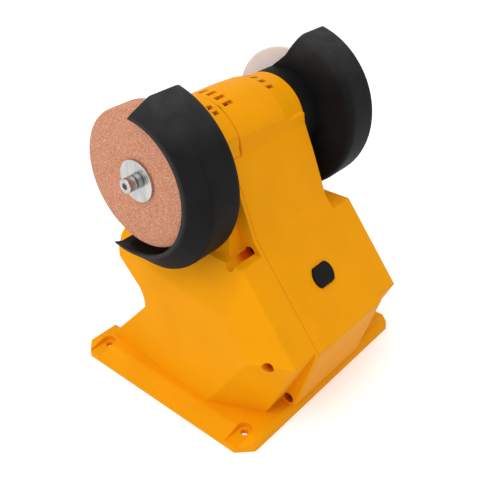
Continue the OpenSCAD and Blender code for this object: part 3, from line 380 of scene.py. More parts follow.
def turned_metal(name, tone):
    """Lathe-turned metal: fine rings about the wheel axis in tone, gloss and height, with darker patches."""
    finish = Finish(name, Metallic=1.0)
    tool = finish.rings(2600.0)
    worn = finish.spread(finish.noise(170.0, 3.0, (1.0, 1.0, 0.35)), 0.0, 1.0, 0.35, 0.65)
    bright = finish.drift(tool, tone, 0.92, 1.1)
    finish.feed("Base Color", finish.blend(worn, bright, shade(tone, 0.72)))
    finish.feed("Roughness", finish.spread(tool, 0.16, 0.34))
    finish.bump(tool, 0.012)
    return finish.material


def plain_metal(name, tone, low=0.25, high=0.42, metallic=1.0):
    """Plated or pressed metal, iron, carbon, and the motor can in the painted shade of the vents: faint
    mottling in tone and gloss.
    """
    finish = Finish(name, Metallic=metallic)
    mottle = finish.noise(420.0, 5.0)
    finish.feed("Base Color", finish.drift(mottle, tone, 0.86, 1.06))
    finish.feed("Roughness", finish.spread(mottle, low, high))
    finish.bump(finish.noise(3000.0), 0.006)
    return finish.material


def striped(name, tone, scale, direction="X", metallic=1.0, distortion=0.0):
    """Stacked sheets or wound wire: dark, dull lines between even stripes."""
    finish = Finish(name, Metallic=metallic)
    lines = finish.bands(scale, direction, distortion)
    finish.feed("Base Color", finish.ramp(lines, (0.05, shade(tone, 0.35)), (0.35, shade(tone, 1.0)),
                                          (1.0, shade(tone, 1.1))))
    finish.feed("Roughness", finish.spread(lines, 0.5, 0.3, 0.0, 1.0))
    finish.bump(lines, 0.08)
    return finish.material


def lacquered_board(tone):
    """Green lacquer over copper tracks: square cells lifted a little, with tinned pads."""
    tin = (0.62, 0.60, 0.55, 1.0)
    finish = Finish("lacquered_board", Specular_IOR_Level=0.5)
    tracks = finish.add("ShaderNodeTexVoronoi", {"Vector": finish.place, "Scale": 260.0},
                        distance="CHEBYCHEV").outputs["Distance"]
    finish.feed("Base Color", finish.ramp(tracks, (0.0, tin), (0.12, shade(tone, 1.8)),
                                          (0.4, shade(tone, 0.8)), (0.7, shade(tone, 1.3))))
    finish.feed("Roughness", finish.spread(finish.noise(900.0), 0.2, 0.35))
    finish.bump(tracks, 0.03)
    return finish.material


def insulation(name, tone):
    """Wire insulation: glossy, with a slow tone drift along the wire."""
    finish = Finish(name, Specular_IOR_Level=0.5)
    slow = finish.noise(150.0, 3.0)
    finish.feed("Base Color", finish.drift(slow, tone, 0.85, 1.1))
    finish.feed("Roughness", finish.spread(slow, 0.28, 0.42))
    finish.bump(finish.noise(1800.0), 0.01)
    return finish.material


def add_piece(name, mesh, material, body, slot, *nodes):
    """Puts a mesh into the scene as one piece that rides on a body and stands for its nodes."""
    piece = bpy.data.objects.new(name, mesh)
    bpy.context.scene.collection.objects.link(piece)
    mesh.materials.clear()
    mesh.materials.append(material)
    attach(piece, body)
    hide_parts(*nodes)
    return piece


def finish_nodes(material, *nodes):
    """Gives carried-over nodes their finish."""
    for node in nodes:
        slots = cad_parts[node].material_slots
        if not slots:
            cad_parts[node].data.materials.append(material)
        for slot in slots:
            slot.material = material


def smooth_by_angle(mesh, degrees):
    """Smooth faces, with the edges between steeper faces kept sharp."""
    mesh.polygons.foreach_set("use_smooth", np.ones(len(mesh.polygons), bool))
    mesh.set_sharp_from_angle(angle=math.radians(degrees))


def grid_mesh(name, points, closed_rows, degrees=35.0, weld=1e-7):
    """Skins a grid of points, rows by columns: the columns always close, the rows close if asked, and rows
    that fall on one point become poles. The faces point outwards."""
    rows, columns = points.shape[:2]
    i, j = np.meshgrid(np.arange(rows if closed_rows else rows - 1), np.arange(columns), indexing="ij")
    below, beside = (i + 1) % rows, (j + 1) % columns
    corners = ((i, j), (below, j), (below, beside), (i, beside))
    faces = np.stack([row * columns + column for row, column in corners], -1)
    mesh = bpy.data.meshes.new(name)
    mesh.from_pydata(points.reshape(-1, 3), [], faces.reshape(-1, 4))
    bm = bmesh.new()
    bm.from_mesh(mesh)
    bmesh.ops.remove_doubles(bm, verts=bm.verts, dist=weld)
    bmesh.ops.recalc_face_normals(bm, faces=bm.faces)
    bm.to_mesh(mesh)
    bm.free()
    smooth_by_angle(mesh, degrees)
    return mesh


def joined(name, *parts):
    """One mesh of several."""
    bm = bmesh.new()
    for part in parts:
        bm.from_mesh(part)
    mesh = bpy.data.meshes.new(name)
    bm.to_mesh(mesh)
    bm.free()
    return mesh


def rounded(profile, radius, steps=4, closed=True):
    """Rounds a profile's corners: each corner B becomes the curve (1-t)^2 A + 2t(1-t) B + t^2 C, where A and
    C lie on its two sides, a radius away or at most 45% of the side. An open profile keeps its two ends."""
    most, sharp = 0.45, 1e-6
    corner = np.asarray(profile, float)
    to_last, to_next = np.roll(corner, 1, 0) - corner, np.roll(corner, -1, 0) - corner
    far_last, far_next = (np.linalg.norm(v, axis=1, keepdims=True) for v in (to_last, to_next))
    cut = np.broadcast_to(np.reshape(radius, (-1, 1)), far_last.shape)
    if not closed:
        cut = np.where(np.isin(np.arange(len(corner)), (0, len(corner) - 1))[:, None], sharp, cut)
    start = corner + to_last / far_last * np.minimum(cut, most * far_last)
    end = corner + to_next / far_next * np.minimum(cut, most * far_next)
    t = np.linspace(0.0, 1.0, steps)[None, :, None]
    curve = (1 - t) ** 2 * start[:, None] + 2 * t * (1 - t) * corner[:, None] + t ** 2 * end[:, None]
    return curve.reshape(-1, 2)


def finely(profile, step, nearest=1e-7):
    """Adds points along a closed profile so that none are further apart than a step."""
    ring = np.vstack([profile, profile[:1]])
    run = np.concatenate([[0.0], np.cumsum(np.linalg.norm(np.diff(ring, axis=0), axis=1))])
    where = np.unique(np.concatenate([run, np.arange(0.0, run[-1], step)]))
    where = where[np.concatenate([[True], np.diff(where) > nearest])]
    return np.stack([np.interp(where, run, ring[:, k]) for k in (0, 1)], -1)[:-1]


def revolved(profile, segments):
    """Turns a profile of places along the wheel axis and radii about that axis: x, r cos a, r sin a."""
    angle = np.linspace(0.0, 2 * np.pi, segments, endpoint=False)
    x, r = profile[:, :1], profile[:, 1:]
    return np.stack(np.broadcast_arrays(x, AXIS_Y + r * np.cos(angle), AXIS_Z + r * np.sin(angle)), -1)


def dissolve_flat(bm):
    """Joins neighbouring faces that lie flat to each other."""
    bmesh.ops.dissolve_limit(bm, angle_limit=FLAT_ANGLE, verts=bm.verts, edges=bm.edges)


def merged_copy(node, weld=0.002 * MM):
    """A node's loose triangles as one joined mesh, with its flat regions dissolved to single faces."""
    bm = bmesh.new()
    bm.from_mesh(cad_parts[node].data)
    bm.edges.layers.float.new("bevel_weight_edge")
    bmesh.ops.remove_doubles(bm, verts=bm.verts, dist=weld)
    dissolve_flat(bm)
    return bm


def flush_panel(bm, hair=0.3 * MM, least_strip=1 * MM):
    """Moves the points of faces that lie a hair behind the panel onto its plane. Where a neighbour then has a
    strip in that plane, the strip is split off, so that the front is one flat face down to its lower edge."""
    slope = [face for face in bm.faces
             if face.normal.y < -0.5 and abs(face.normal.x) < 1e-4 and face.normal.z > 0.3]
    panel = max(slope, key=lambda face: face.calc_area())
    normal, level = panel.normal.copy(), panel.normal.dot(panel.verts[0].co)
    behind = dict.fromkeys(v for face in slope if face.normal.dot(normal) > 0.99999 for v in face.verts)
    moved = [v for v in behind if 0.0 < level - normal.dot(v.co) < hair]
    for v in moved:
        v.co += normal * (level - normal.dot(v.co))
    for face in dict.fromkeys(face for v in moved for face in v.link_faces):
        flush = [loop for loop in face.loops if abs(level - normal.dot(loop.vert.co)) < 0.01 * hair]
        ends = [loop.vert for loop in flush
                if loop.link_loop_prev not in flush or loop.link_loop_next not in flush]
        if len(flush) > 3 and len(ends) == 2 and abs(ends[0].co.x - ends[1].co.x) > least_strip:
            bmesh.utils.face_split(face, *ends)
    bm.normal_update()
    dissolve_flat(bm)


def solid_tree(*nodes):
    """A search tree over the triangles of some nodes."""
    points, faces = [], []
    for node in nodes:
        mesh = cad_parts[node].data
        first = len(points)
        points.extend(v.co for v in mesh.vertices)
        faces.extend([first + k for k in face.vertices] for face in mesh.polygons)
    return BVHTree.FromPolygons(points, faces)


def outer_edges(bm, tree, least_angle, least_length, least_area):
    """Ridges of the outer skin between two large faces, with their middles: from them, a straight line midway
    between the two faces' normals leaves the solids of the tree without meeting them."""
    clear, reach = 0.4 * MM, 0.3
    found = []
    for edge in bm.edges:
        if len(edge.link_faces) != 2 or edge.calc_length() < least_length:
            continue
        if edge.calc_face_angle_signed(0.0) < least_angle:
            continue
        if min(face.calc_area() for face in edge.link_faces) < least_area:
            continue
        middle = (edge.verts[0].co + edge.verts[1].co) / 2
        way = (edge.link_faces[0].normal + edge.link_faces[1].normal).normalized()
        if tree.ray_cast(middle + way * clear, way, reach)[0] is None:
            found.append((edge, middle))
    return found


def room_beside(edge, face):
    """How wide a face is beside an edge: the shortest of several lines across it, square to the edge. The
    ends of the face's other sides lie at u in the edge's direction and at w across it."""
    lines, first, last = 9, 0.12, 0.88
    no_length, no_depth, no_limit = 1e-9, 1e-5, 1.0
    start, along = edge.verts[0].co, edge.verts[1].co - edge.verts[0].co
    inward = face.normal.cross(along).normalized()
    if (face.calc_center_median() - start).dot(inward) < 0:
        inward.negate()
    place = along.length * np.linspace(first, last, lines)[:, None]
    ends = np.array([[v.co - start for v in side.verts] for side in face.edges if side is not edge], float)
    u, w = ends @ np.array(along.normalized()), ends @ np.array(inward)
    run = u[:, 1] - u[:, 0]
    share = (place - u[:, 0]) / np.where(np.abs(run) < no_length, no_length, run)
    depth = w[:, 0] + share * (w[:, 1] - w[:, 0])
    crossed = (place > u.min(axis=1)) & (place < u.max(axis=1)) & (depth > no_depth)
    return float(np.where(crossed, depth, no_limit).min())


def keep_creases(bm, flat_degrees=8.0, curve_degrees=32.0, large_area=20 * MM * MM):
    """Smooth shading, but sharp where two large flat faces or two steep small ones meet."""
    for edge in bm.edges:
        bend = abs(edge.calc_face_angle(0.0))
        large = all(face.calc_area() > large_area for face in edge.link_faces)
        edge.smooth = bend < math.radians(flat_degrees if large else curve_degrees)
    for face in bm.faces:
        face.smooth = True


def weld_near(bm, points, reach, upper):
    """Joins points that are nearer to each other than a reach. The upper one stays, or else the lower."""
    stay, goes = [], {}
    for v in sorted(points, key=lambda v: (-v.co.z if upper else v.co.z, v.co.y, v.co.x)):
        near = [other for other in stay if (other.co - v.co).length < reach]
        if near:
            goes[v] = near[0]
        else:
            stay.append(v)
    bmesh.ops.weld_verts(bm, targetmap=goes)


def rounded_piece(name, bm, radii, material, body, slot, node, weld=0.8 * MM, upper=True, share=0.3):
    """Makes a piece of a joined mesh whose chosen edges a Bevel rounds, each by its own radius, or by a share
    of the room beside it where that is less."""
    radii = {edge: min(radius, *(share * room_beside(edge, face) for face in edge.link_faces))
             for edge, radius in radii.items()}
    weld_near(bm, {v for edge in radii for v in edge.verts}, weld, upper)
    radii = {edge: radius for edge, radius in radii.items() if edge.is_valid}
    widest = max(radii.values())
    layer = bm.edges.layers.float["bevel_weight_edge"]
    for edge, radius in radii.items():
        edge[layer] = radius / widest
    keep_creases(bm)
    mesh = bpy.data.meshes.new(name)
    bm.to_mesh(mesh)
    bm.free()
    piece = add_piece(name, mesh, material, body, slot, node)
    bevel = piece.modifiers.new("Rounding", "BEVEL")
    bevel.limit_method = "WEIGHT"
    bevel.width = widest
    bevel.segments = 3
    bevel.use_clamp_overlap = False
    bevel.miter_outer = "MITER_SHARP"
    normals = piece.modifiers.new("Even shading", "WEIGHTED_NORMAL")
    normals.keep_sharp = True


def on_parting(face, near=0.05 * MM, square=0.999):
    """True for a face of the joint between the housing and its cover."""
    middle, normal = face.calc_center_median(), face.normal
    upright = abs(normal.x) > square and min(abs(middle.x - x) for x in PARTING_X) < near
    level = abs(normal.z) > square and abs(middle.z - PARTING_Z) < near
    return upright or level


def ridge_radius(edge, middle, sizes):
    """Rounding of a ridge: more round the upper back, less between shallow facets, and none for a short
    shallow ridge that ends at a low screw bore."""
    back_y, back_z, low_z = 40 * MM, 66 * MM, 60 * MM
    bore_edge, short = 2.5 * MM, 20 * MM
    run = edge.calc_length()
    across = abs(edge.verts[0].co.x - edge.verts[1].co.x) > 0.9 * run
    shallow = edge.calc_face_angle(0.0) < math.radians(45)
    at_bore = any(other.calc_length() < bore_edge for v in edge.verts for other in v.link_edges)
    if across and middle.y > back_y and middle.z > back_z:
        return sizes.back_round
    if shallow and at_bore and middle.z < low_z and run < short:
        return 0.0
    return sizes.facet_round if shallow else sizes.mould_round


def moulding(node, name, sizes, tree, material):
    """A housing half with the ridges of its outer skin rounded, a little along the joint between the halves.
    The foot on the plate stays square."""
    least_run, least_area = 0.3 * MM, 0.3 * MM * MM
    ridge_run, ridge_area = 2 * MM, 3 * MM * MM
    bm = merged_copy(node)
    flush_panel(bm)
    radii = {}
    for edge, middle in outer_edges(bm, tree, RIDGE_ANGLE, least_run, least_area):
        if max(v.co.z for v in edge.verts) < PLATE_TOP + 0.1 * MM:
            continue
        smaller = min(face.calc_area() for face in edge.link_faces)
        radius = 0.0
        if any(on_parting(face) for face in edge.link_faces):
            radius = sizes.parting_round
        elif edge.calc_length() > ridge_run and smaller > ridge_area:
            radius = ridge_radius(edge, middle, sizes)
        if radius > 0.0:
            radii[edge] = radius
    rounded_piece(name, bm, radii, material, "stand", "housing_plastic", node)


class GRINDER_OT_housing(bpy.types.Operator):
    """Rounds the two halves of the housing"""
    bl_idname = "grinder.housing"
    bl_label = "Housing and cover"

    def execute(self, context):
        sizes, colours, _ = settings()
        # painted shade in the housing's screw bores and along the barrel's joint
        plastic = moulded_plastic("housing_satin", colours.housing, painted_shade=colours.painted_shade)
        tree = solid_tree("main_housing", "left_cover", "base_plate")
        moulding("main_housing", "housing_moulding", sizes, tree, plastic)
        moulding("left_cover", "cover_moulding", sizes, tree, plastic)
        return {"FINISHED"}


class GRINDER_OT_plate(bpy.types.Operator):
    """Rounds the base plate's edges and pockets"""
    bl_idname = "grinder.plate"
    bl_label = "Base plate"

    def execute(self, context):
        sizes, _, _ = settings()
        underside, least_run, least_area = 0.2 * MM, 2 * MM, 4 * MM * MM
        bm = merged_copy("base_plate")
        edges = outer_edges(bm, solid_tree("base_plate"), RIDGE_ANGLE, least_run, least_area)
        radii = {edge: sizes.plate_round for edge, middle in edges if middle.z > underside}
        plastic = bpy.data.materials["housing_satin"]
        rounded_piece("plate_moulding", bm, radii, plastic, "stand", "housing_plastic", "base_plate",
                      upper=False)
        return {"FINISHED"}


class GRINDER_OT_guards(bpy.types.Operator):
    """Sweeps the two wheel guards: a plate, a round wall and a lip whose opening widens into a horn"""
    bl_idname = "grinder.guards"
    bl_label = "Wheel guards"

    # Hub and plate
    wall = 2.1 * MM
    hub_length, hub_seat, hub_rim, hub_bore, hub_round = 11.7 * MM, 20 * MM, 26 * MM, 9 * MM, 0.3 * MM
    plate_start = 25 * MM
    inner_round, outer_round = 3.6 * MM, 5.0 * MM

    # Lip and horn
    lip_slope, lip_set_back = 6.5 * MM, 1.4 * MM
    lip_rounds = (1.6 * MM, 0.8 * MM, 0.5 * MM)
    narrow_lip, wide_lip = 35 * MM, 45 * MM
    upper_lip, lower_lip, lip_soft = 35.2 * MM, 41.3 * MM, 0.8 * MM
    lip_shift = (6.5 * MM, -1.5 * MM)
    horn_start, horn_turn = np.radians(250), np.radians(45)

    # Slanted edge at the top, as heights and depths from the axis, and the level cut at the bottom
    edge_z = np.array([-43.8, 22.1, 22.2, 30.1, 38.0, 46.3, 74.2]) * MM
    edge_y = np.array([6.7, 1.1, 13.8, 1.4, -3.4, -10.0, -27.8]) * MM
    cut_z = (-44.6 * MM, -42.5 * MM)
    furthest = (np.radians(45), np.radians(310))

    def execute(self, context):
        sizes, colours, _ = settings()
        low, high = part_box("right_guard")
        plastic = guard_plastic(colours.guard, colours.dust_and_highlight, high.x)
        plate = low.x + self.hub_length
        face = plate + self.wall
        shell = self.shell(plate, high.x, AXIS_Z - low.z, sizes)
        hub = rounded([(low.x, self.hub_seat), (low.x, self.hub_rim), (face, self.hub_rim),
                       (face, self.hub_bore), (plate, self.hub_bore), (plate, self.hub_seat)], self.hub_round)
        hub = revolved(hub, 128)
        for side, sign in SIDES:
            way = np.array([sign, 1, 1])
            name = f"{side}_guard_moulding"
            mesh = joined(name, grid_mesh("shell", shell * way, False), grid_mesh("hub", hub * way, True))
            add_piece(name, mesh, plastic, "stand", "guard_plastic", f"{side}_guard")
        return {"FINISHED"}

    def lip(self, angle):
        """Radius of the lip's opening: round the axis in the upper half, below it the larger of that radius
        and the distance to a circle whose centre is shifted, with a soft change between the two."""
        below = np.maximum(angle, np.pi)
        shift_y, shift_z = self.lip_shift
        along = shift_y * np.cos(below) + shift_z * np.sin(below)
        across = shift_y * np.sin(below) - shift_z * np.cos(below)
        circle = along + np.sqrt(self.lower_lip ** 2 - across ** 2)
        apart = np.sqrt((self.upper_lip - circle) ** 2 + self.lip_soft ** 2)
        return (self.upper_lip + circle + apart) / 2

    def sides(self, plate, front, rim, opening):
        """Inner and outer side of the guard's section, as places along the axis and radii, from the hub to
        the middle of the lip's end, with equal counts of points."""
        wall, wall_end = self.wall, front - self.lip_slope
        middle, bevel, shoulder = (opening + step * MM for step in (0.7, 1.1, 1.5))
        inner = [(plate + 0.98 * wall, self.plate_start), (plate + wall, rim - wall),
                 (wall_end - self.lip_set_back, rim - wall), (front - wall, opening), (front, opening),
                 (front, middle)]
        outer = [(plate + 0.02 * wall, self.plate_start), (plate, rim), (wall_end, rim), (front, shoulder),
                 (front, bevel), (front, middle)]
        halves = []
        for corners, corner_round in ((inner, self.inner_round), (outer, self.outer_round)):
            curve = rounded(corners, np.array([0, corner_round, *self.lip_rounds, 0]), 8, closed=False)
            straight = curve[0] + np.linspace(0, 1, 12, endpoint=False)[:, None] * (curve[1] - curve[0])
            curve = np.vstack([straight, curve[1:]])
            count = len(curve)
            index = np.linspace(0, count - 1, 3 * count)
            halves.append(np.stack([np.interp(index, np.arange(count), curve[:, k]) for k in (0, 1)], -1))
        return np.vstack([halves[0], halves[1][::-1]])

    def shell(self, plate, front, rim, sizes):
        """Sweeps the section about the wheel axis. Each of its points runs from the slanted edge at the top
        to the level cut at the bottom, found as the first angle that leaves the kept side. At both ends the
        section thins along a quarter circle, then closes on its middle."""
        narrow = self.sides(plate, front, rim, self.narrow_lip)
        wide = self.sides(plate, front, rim, self.wide_lip)
        grown = self.sides(plate, front, rim + sizes.guard_swell, self.narrow_lip)

        def section(angle):
            """Places and radii at an angle: the opening follows the lip, and the wall swells more towards the
            bottom, by 1 - 0.6 sin a, but less along the horn."""
            share = (self.lip(angle) - self.narrow_lip) / (self.wide_lip - self.narrow_lip)
            horn = ((angle - self.horn_start) / self.horn_turn).clip(0, 1)
            swell = (1 - 0.6 * np.sin(angle)) * (1 - 0.9 * horn)
            opened, swollen = wide[:, 1] - narrow[:, 1], grown[:, 1] - narrow[:, 1]
            return narrow[:, 0] + 0 * angle, narrow[:, 1] + share * opened + swell * swollen

        def kept(angle):
            """True where y lies below the edge's y at that height, or z below the cut."""
            x, r = section(angle)
            y, z = r * np.cos(angle), r * np.sin(angle)
            cut = np.interp(x, (front - self.lip_slope, front), self.cut_z)
            return (y < np.interp(z, self.edge_z, self.edge_y)) | (z < cut)

        ends = []
        for furthest in self.furthest:
            angle = np.linspace(np.pi, furthest, 9000)[:, None]
            ends.append(angle[np.argmin(kept(angle), axis=0), 0])
        steps = 150
        turn = np.radians(np.linspace(0, 90, 5))
        thin = 1 - 2 * sizes.guard_round / self.wall * (1 - np.sin(turn))
        thin = np.concatenate([[0], thin, np.ones(steps), thin[::-1], [0]])
        back = np.concatenate([[0], sizes.guard_round * (1 - np.cos(turn))])[:, None]
        first, last = (end + sign * back / section(end)[1] for end, sign in zip(ends, (1, -1)))
        share = np.linspace(0, 1, steps + 2)[1:-1, None]
        angle = np.vstack([first, first[-1] + share * (last[-1] - first[-1]), last[::-1]])
        x, r = section(angle)
        points = np.stack([x, AXIS_Y + r * np.cos(angle), AXIS_Z + r * np.sin(angle)], -1)
        middle = (points + points[:, ::-1]) / 2
        return middle + (points - middle) * thin[:, None, None]


class GRINDER_OT_grinding_wheel(bpy.types.Operator):
    """Makes the grinding wheel, with grains standing out of its faces and rim"""
    bl_idname = "grinder.grinding_wheel"
    bl_label = "Grinding wheel"

    def execute(self, context):
        sizes, colours, _ = settings()
        bore, step, segments, seed = 5 * MM, 0.9 * MM, 300, 7
        low, high, depth = WHEEL_LOW.x, WHEEL_HIGH.x, sizes.grain_depth
        rim = (WHEEL_HIGH.z - WHEEL_LOW.z) / 2 - depth
        profile = rounded([(low, bore), (low, rim), (high, rim), (high, bore)], sizes.wheel_round)
        points = revolved(finely(profile, step), segments)
        grains = np.random.default_rng(seed).normal(0.0, 1.0, points.shape[:2])
        grains = (grains + np.roll(grains, 1, 0) + np.roll(grains, 1, 1)) / 3
        out = points - np.array([(low + high) / 2, AXIS_Y, AXIS_Z])
        out[..., 0] *= rim / (high - low) * 2
        out /= np.linalg.norm(out, axis=-1, keepdims=True)
        points = points + out * (grains * depth).clip(-depth, depth)[..., None]
        points[..., 0] = points[..., 0].clip(low, high)
        mesh = grid_mesh("abrasive_wheel", points, True, 60.0)
        abrasive = bonded_abrasive(colours.grain, colours.grain_dark, colours.grain_pale)
        add_piece("abrasive_wheel", mesh, abrasive, "rotor", "abrasive", "grinding_wheel")
        return {"FINISHED"}


class GRINDER_OT_felt_wheel(bpy.types.Operator):
    """Makes the tapered felt wheel"""
    bl_idname = "grinder.felt_wheel"
    bl_label = "Felt wheel"

    def execute(self, context):
        sizes, colours, _ = settings()
        seat, bore, taper, break_along, break_rise = 13.6 * MM, 5 * MM, 7 * MM, 1.5 * MM, 0.4 * MM
        step, segments = 1.2 * MM, 256
        low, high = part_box("polishing_wheel")
        rim = (high.z - low.z) / 2
        inner, outer, face = -WHEEL_HIGH.x, high.x, rim - taper
        corners = [(inner, bore), (inner, seat), (low.x, seat), (low.x, rim),
                   (outer - break_along, face + break_rise), (outer, face - break_along), (outer, bore)]
        profile = finely(rounded(corners, sizes.felt_round), step)
        mesh = grid_mesh("felt_wheel", revolved(profile, segments), True, 50.0)
        add_piece("felt_wheel", mesh, pressed_felt(colours.felt), "rotor", "felt", "polishing_wheel")
        return {"FINISHED"}


class GRINDER_OT_wheel_fittings(bpy.types.Operator):
    """Turns the clamping washers and the socket screws of both wheels"""
    bl_idname = "grinder.wheel_fittings"
    bl_label = "Washers and wheel screws"

    def execute(self, context):
        sizes, colours, _ = settings()
        hole, step, segments = 3.3 * MM, 1.0 * MM, 160
        steel = turned_metal("turned_steel", colours.steel)
        zinc = plain_metal("zinc_plate", colours.zinc)
        for side, sign in SIDES:
            low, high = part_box(f"{side}_outer_washer")
            inner, outer = sorted((abs(low.x), abs(high.x)))
            rim = (high.z - low.z) / 2
            corners = [(sign * inner, hole), (sign * inner, rim), (sign * outer, rim), (sign * outer, hole)]
            profile = finely(rounded(corners, sizes.metal_round), step)
            mesh = grid_mesh(f"{side}_clamp_washer", revolved(profile, segments), True, 40.0)
            add_piece(f"{side}_clamp_washer", mesh, steel, "rotor", "steel", f"{side}_outer_washer")
            self.socket_screw(side, sign, outer, steel)
        finish_nodes(zinc, "spring_washers", "arbor_set_screws")
        finish_nodes(steel, "left_arbor", "right_arbor")
        return {"FINISHED"}

    def socket_screw(self, side, sign, washer, steel):
        """A profile from the socket's floor over the head and the ribbed collar to the end of the shank,
        turned about the axis. In the socket the radius follows a hexagon: it is divided by the cosine of the
        angle from the middle of the hexagon's side."""
        collar, head, shank, socket, depth = 4.2 * MM, 4.0 * MM, 3.0 * MM, 1.8 * MM, 2.2 * MM
        spring_washer, collar_length, groove, edge_round = 1.2 * MM, 1.7 * MM, 0.45 * MM, 0.45 * MM
        ribs, segments, sixth, ring = 4, 144, np.pi / 3, 0.1 * MM
        low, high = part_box(f"{side}_wheel_screw")
        end, top = sorted((abs(low.x), abs(high.x)))
        ledge = washer + spring_washer
        shoulder = ledge + collar_length
        floor = top - depth
        hollow = np.array([(floor, 0.0), (floor, socket), (top, socket), (top, socket + ring)])
        rib_ends = np.arange(ribs)[:, None] + np.array([0.0, 0.5, 0.55, 0.95])
        places = shoulder - rib_ends * collar_length / ribs
        collar_radii = collar - groove * np.array([0, 0, 1, 1])
        collar_profile = np.stack(np.broadcast_arrays(places, collar_radii), -1).reshape(-1, 2)
        outside = rounded([(top, socket + 2 * ring), (top, head), (shoulder, head), *collar_profile,
                           (ledge, shank), (end, shank), (end, 0.0)], edge_round, closed=False)
        profile = np.vstack([hollow, outside])
        angle = np.linspace(0.0, 2 * np.pi, segments, endpoint=False)
        hexagon = 1.0 / np.cos((angle + sixth / 2) % sixth - sixth / 2)
        in_socket = (np.arange(len(profile)) < 3)[:, None]
        radius = np.where(in_socket, profile[:, 1:] * hexagon, profile[:, 1:])
        points = np.stack(np.broadcast_arrays(sign * profile[:, :1], AXIS_Y + radius * np.cos(angle),
                                              AXIS_Z + radius * np.sin(angle)), -1)
        mesh = grid_mesh(f"{side}_socket_screw", points, False)
        add_piece(f"{side}_socket_screw", mesh, steel, "rotor", "steel", f"{side}_wheel_screw")


class GRINDER_OT_button(bpy.types.Operator):
    """Rounds the power button"""
    bl_idname = "grinder.button"
    bl_label = "Power button"

    def execute(self, context):
        sizes, colours, _ = settings()
        rim_angle, least_run, least_area, weld = math.radians(40), 0.1 * MM, 0.2 * MM * MM, 0.01 * MM
        black = moulded_plastic("black_satin", colours.button, 0.5, 0.7, 0.05)
        bm = merged_copy("power_button")
        edges = outer_edges(bm, solid_tree("power_button"), rim_angle, least_run, least_area)
        radii = {edge: sizes.button_round for edge, middle in edges}
        rounded_piece("button_cap", bm, radii, black, "button", "black_plastic", "power_button", weld)
        return {"FINISHED"}


class GRINDER_OT_case_parts(bpy.types.Operator):
    """Finishes the screws of the case and the battery dock"""
    bl_idname = "grinder.case_parts"
    bl_label = "Case screws and dock"

    def execute(self, context):
        _, colours, _ = settings()
        finish_nodes(bpy.data.materials["zinc_plate"], "base_screws", "guard_screws", "motor_screws",
                     "board_screws", "dock_screws")
        finish_nodes(plain_metal("browned_steel", colours.oxide, 0.5, 0.7), "cover_screws")
        finish_nodes(bpy.data.materials["black_satin"], "battery_dock", "terminal_block", "switch_body")
        finish_nodes(plain_metal("contact_brass", colours.brass), "terminal_blades", "brush_arms")
        return {"FINISHED"}


class GRINDER_OT_motor(bpy.types.Operator):
    """Finishes the motor and its bearings"""
    bl_idname = "grinder.motor"
    bl_label = "Motor"

    def execute(self, context):
        _, colours, _ = settings()
        steel = bpy.data.materials["turned_steel"]
        finish_nodes(steel, "motor_shaft", "bearing_outer_rings", "bearing_inner_rings")
        # painted shade: the can takes the orange-brown of the shade inside the vents
        finish_nodes(plain_metal("can_vent_shade", colours.vent_shade, 0.45, 0.6, 0.3), "motor_can")
        finish_nodes(bpy.data.materials["black_satin"], "motor_end_cap")
        finish_nodes(plain_metal("magnet_ferrite", colours.iron, 0.6, 0.8, 0.2), "motor_magnets")
        finish_nodes(striped("core_laminations", colours.iron, 320.0), "armature_core")
        finish_nodes(striped("winding_wire", colours.copper, 260.0, "Y", 0.8, 0.6), "armature_windings")
        finish_nodes(striped("commutator_bars", colours.copper, 180.0, "Z"), "commutator")
        finish_nodes(moulded_plastic("cage_nylon", colours.nylon), "ball_cages", "cooling_fan")
        finish_nodes(plain_metal("brush_carbon", colours.iron, 0.7, 0.9, 0.1), "carbon_brushes")
        return {"FINISHED"}


class GRINDER_OT_electrics(bpy.types.Operator):
    """Finishes the control board and the leads"""
    bl_idname = "grinder.electrics"
    bl_label = "Board and leads"

    def execute(self, context):
        _, colours, _ = settings()
        finish_nodes(lacquered_board(colours.board), "control_board")
        finish_nodes(insulation("capacitor_sleeve", colours.button), "board_capacitor")
        finish_nodes(moulded_plastic("transistor_epoxy", colours.button), "power_transistor")
        finish_nodes(insulation("red_insulation", colours.red_lead), "positive_lead", "motor_lead_a")
        finish_nodes(insulation("black_insulation", colours.button), "negative_lead", "motor_lead_b")
        finish_nodes(insulation("white_insulation", colours.white_lead), "switch_lead_a", "switch_lead_b")
        return {"FINISHED"}


def background_rays(tree):
    """1 for the rays that show the background, to the camera, in metal and through glass, 0 for the rest."""
    path = tree.nodes.new("ShaderNodeLightPath")
    seen = path.outputs["Is Camera Ray"]
    for kind in ("Is Glossy Ray", "Is Transmission Ray"):
        either = tree.nodes.new("ShaderNodeMath")
        either.operation = "MAXIMUM"
        tree.links.new(seen, either.inputs[0])
        tree.links.new(path.outputs[kind], either.inputs[1])
        seen = either.outputs["Value"]
    return seen


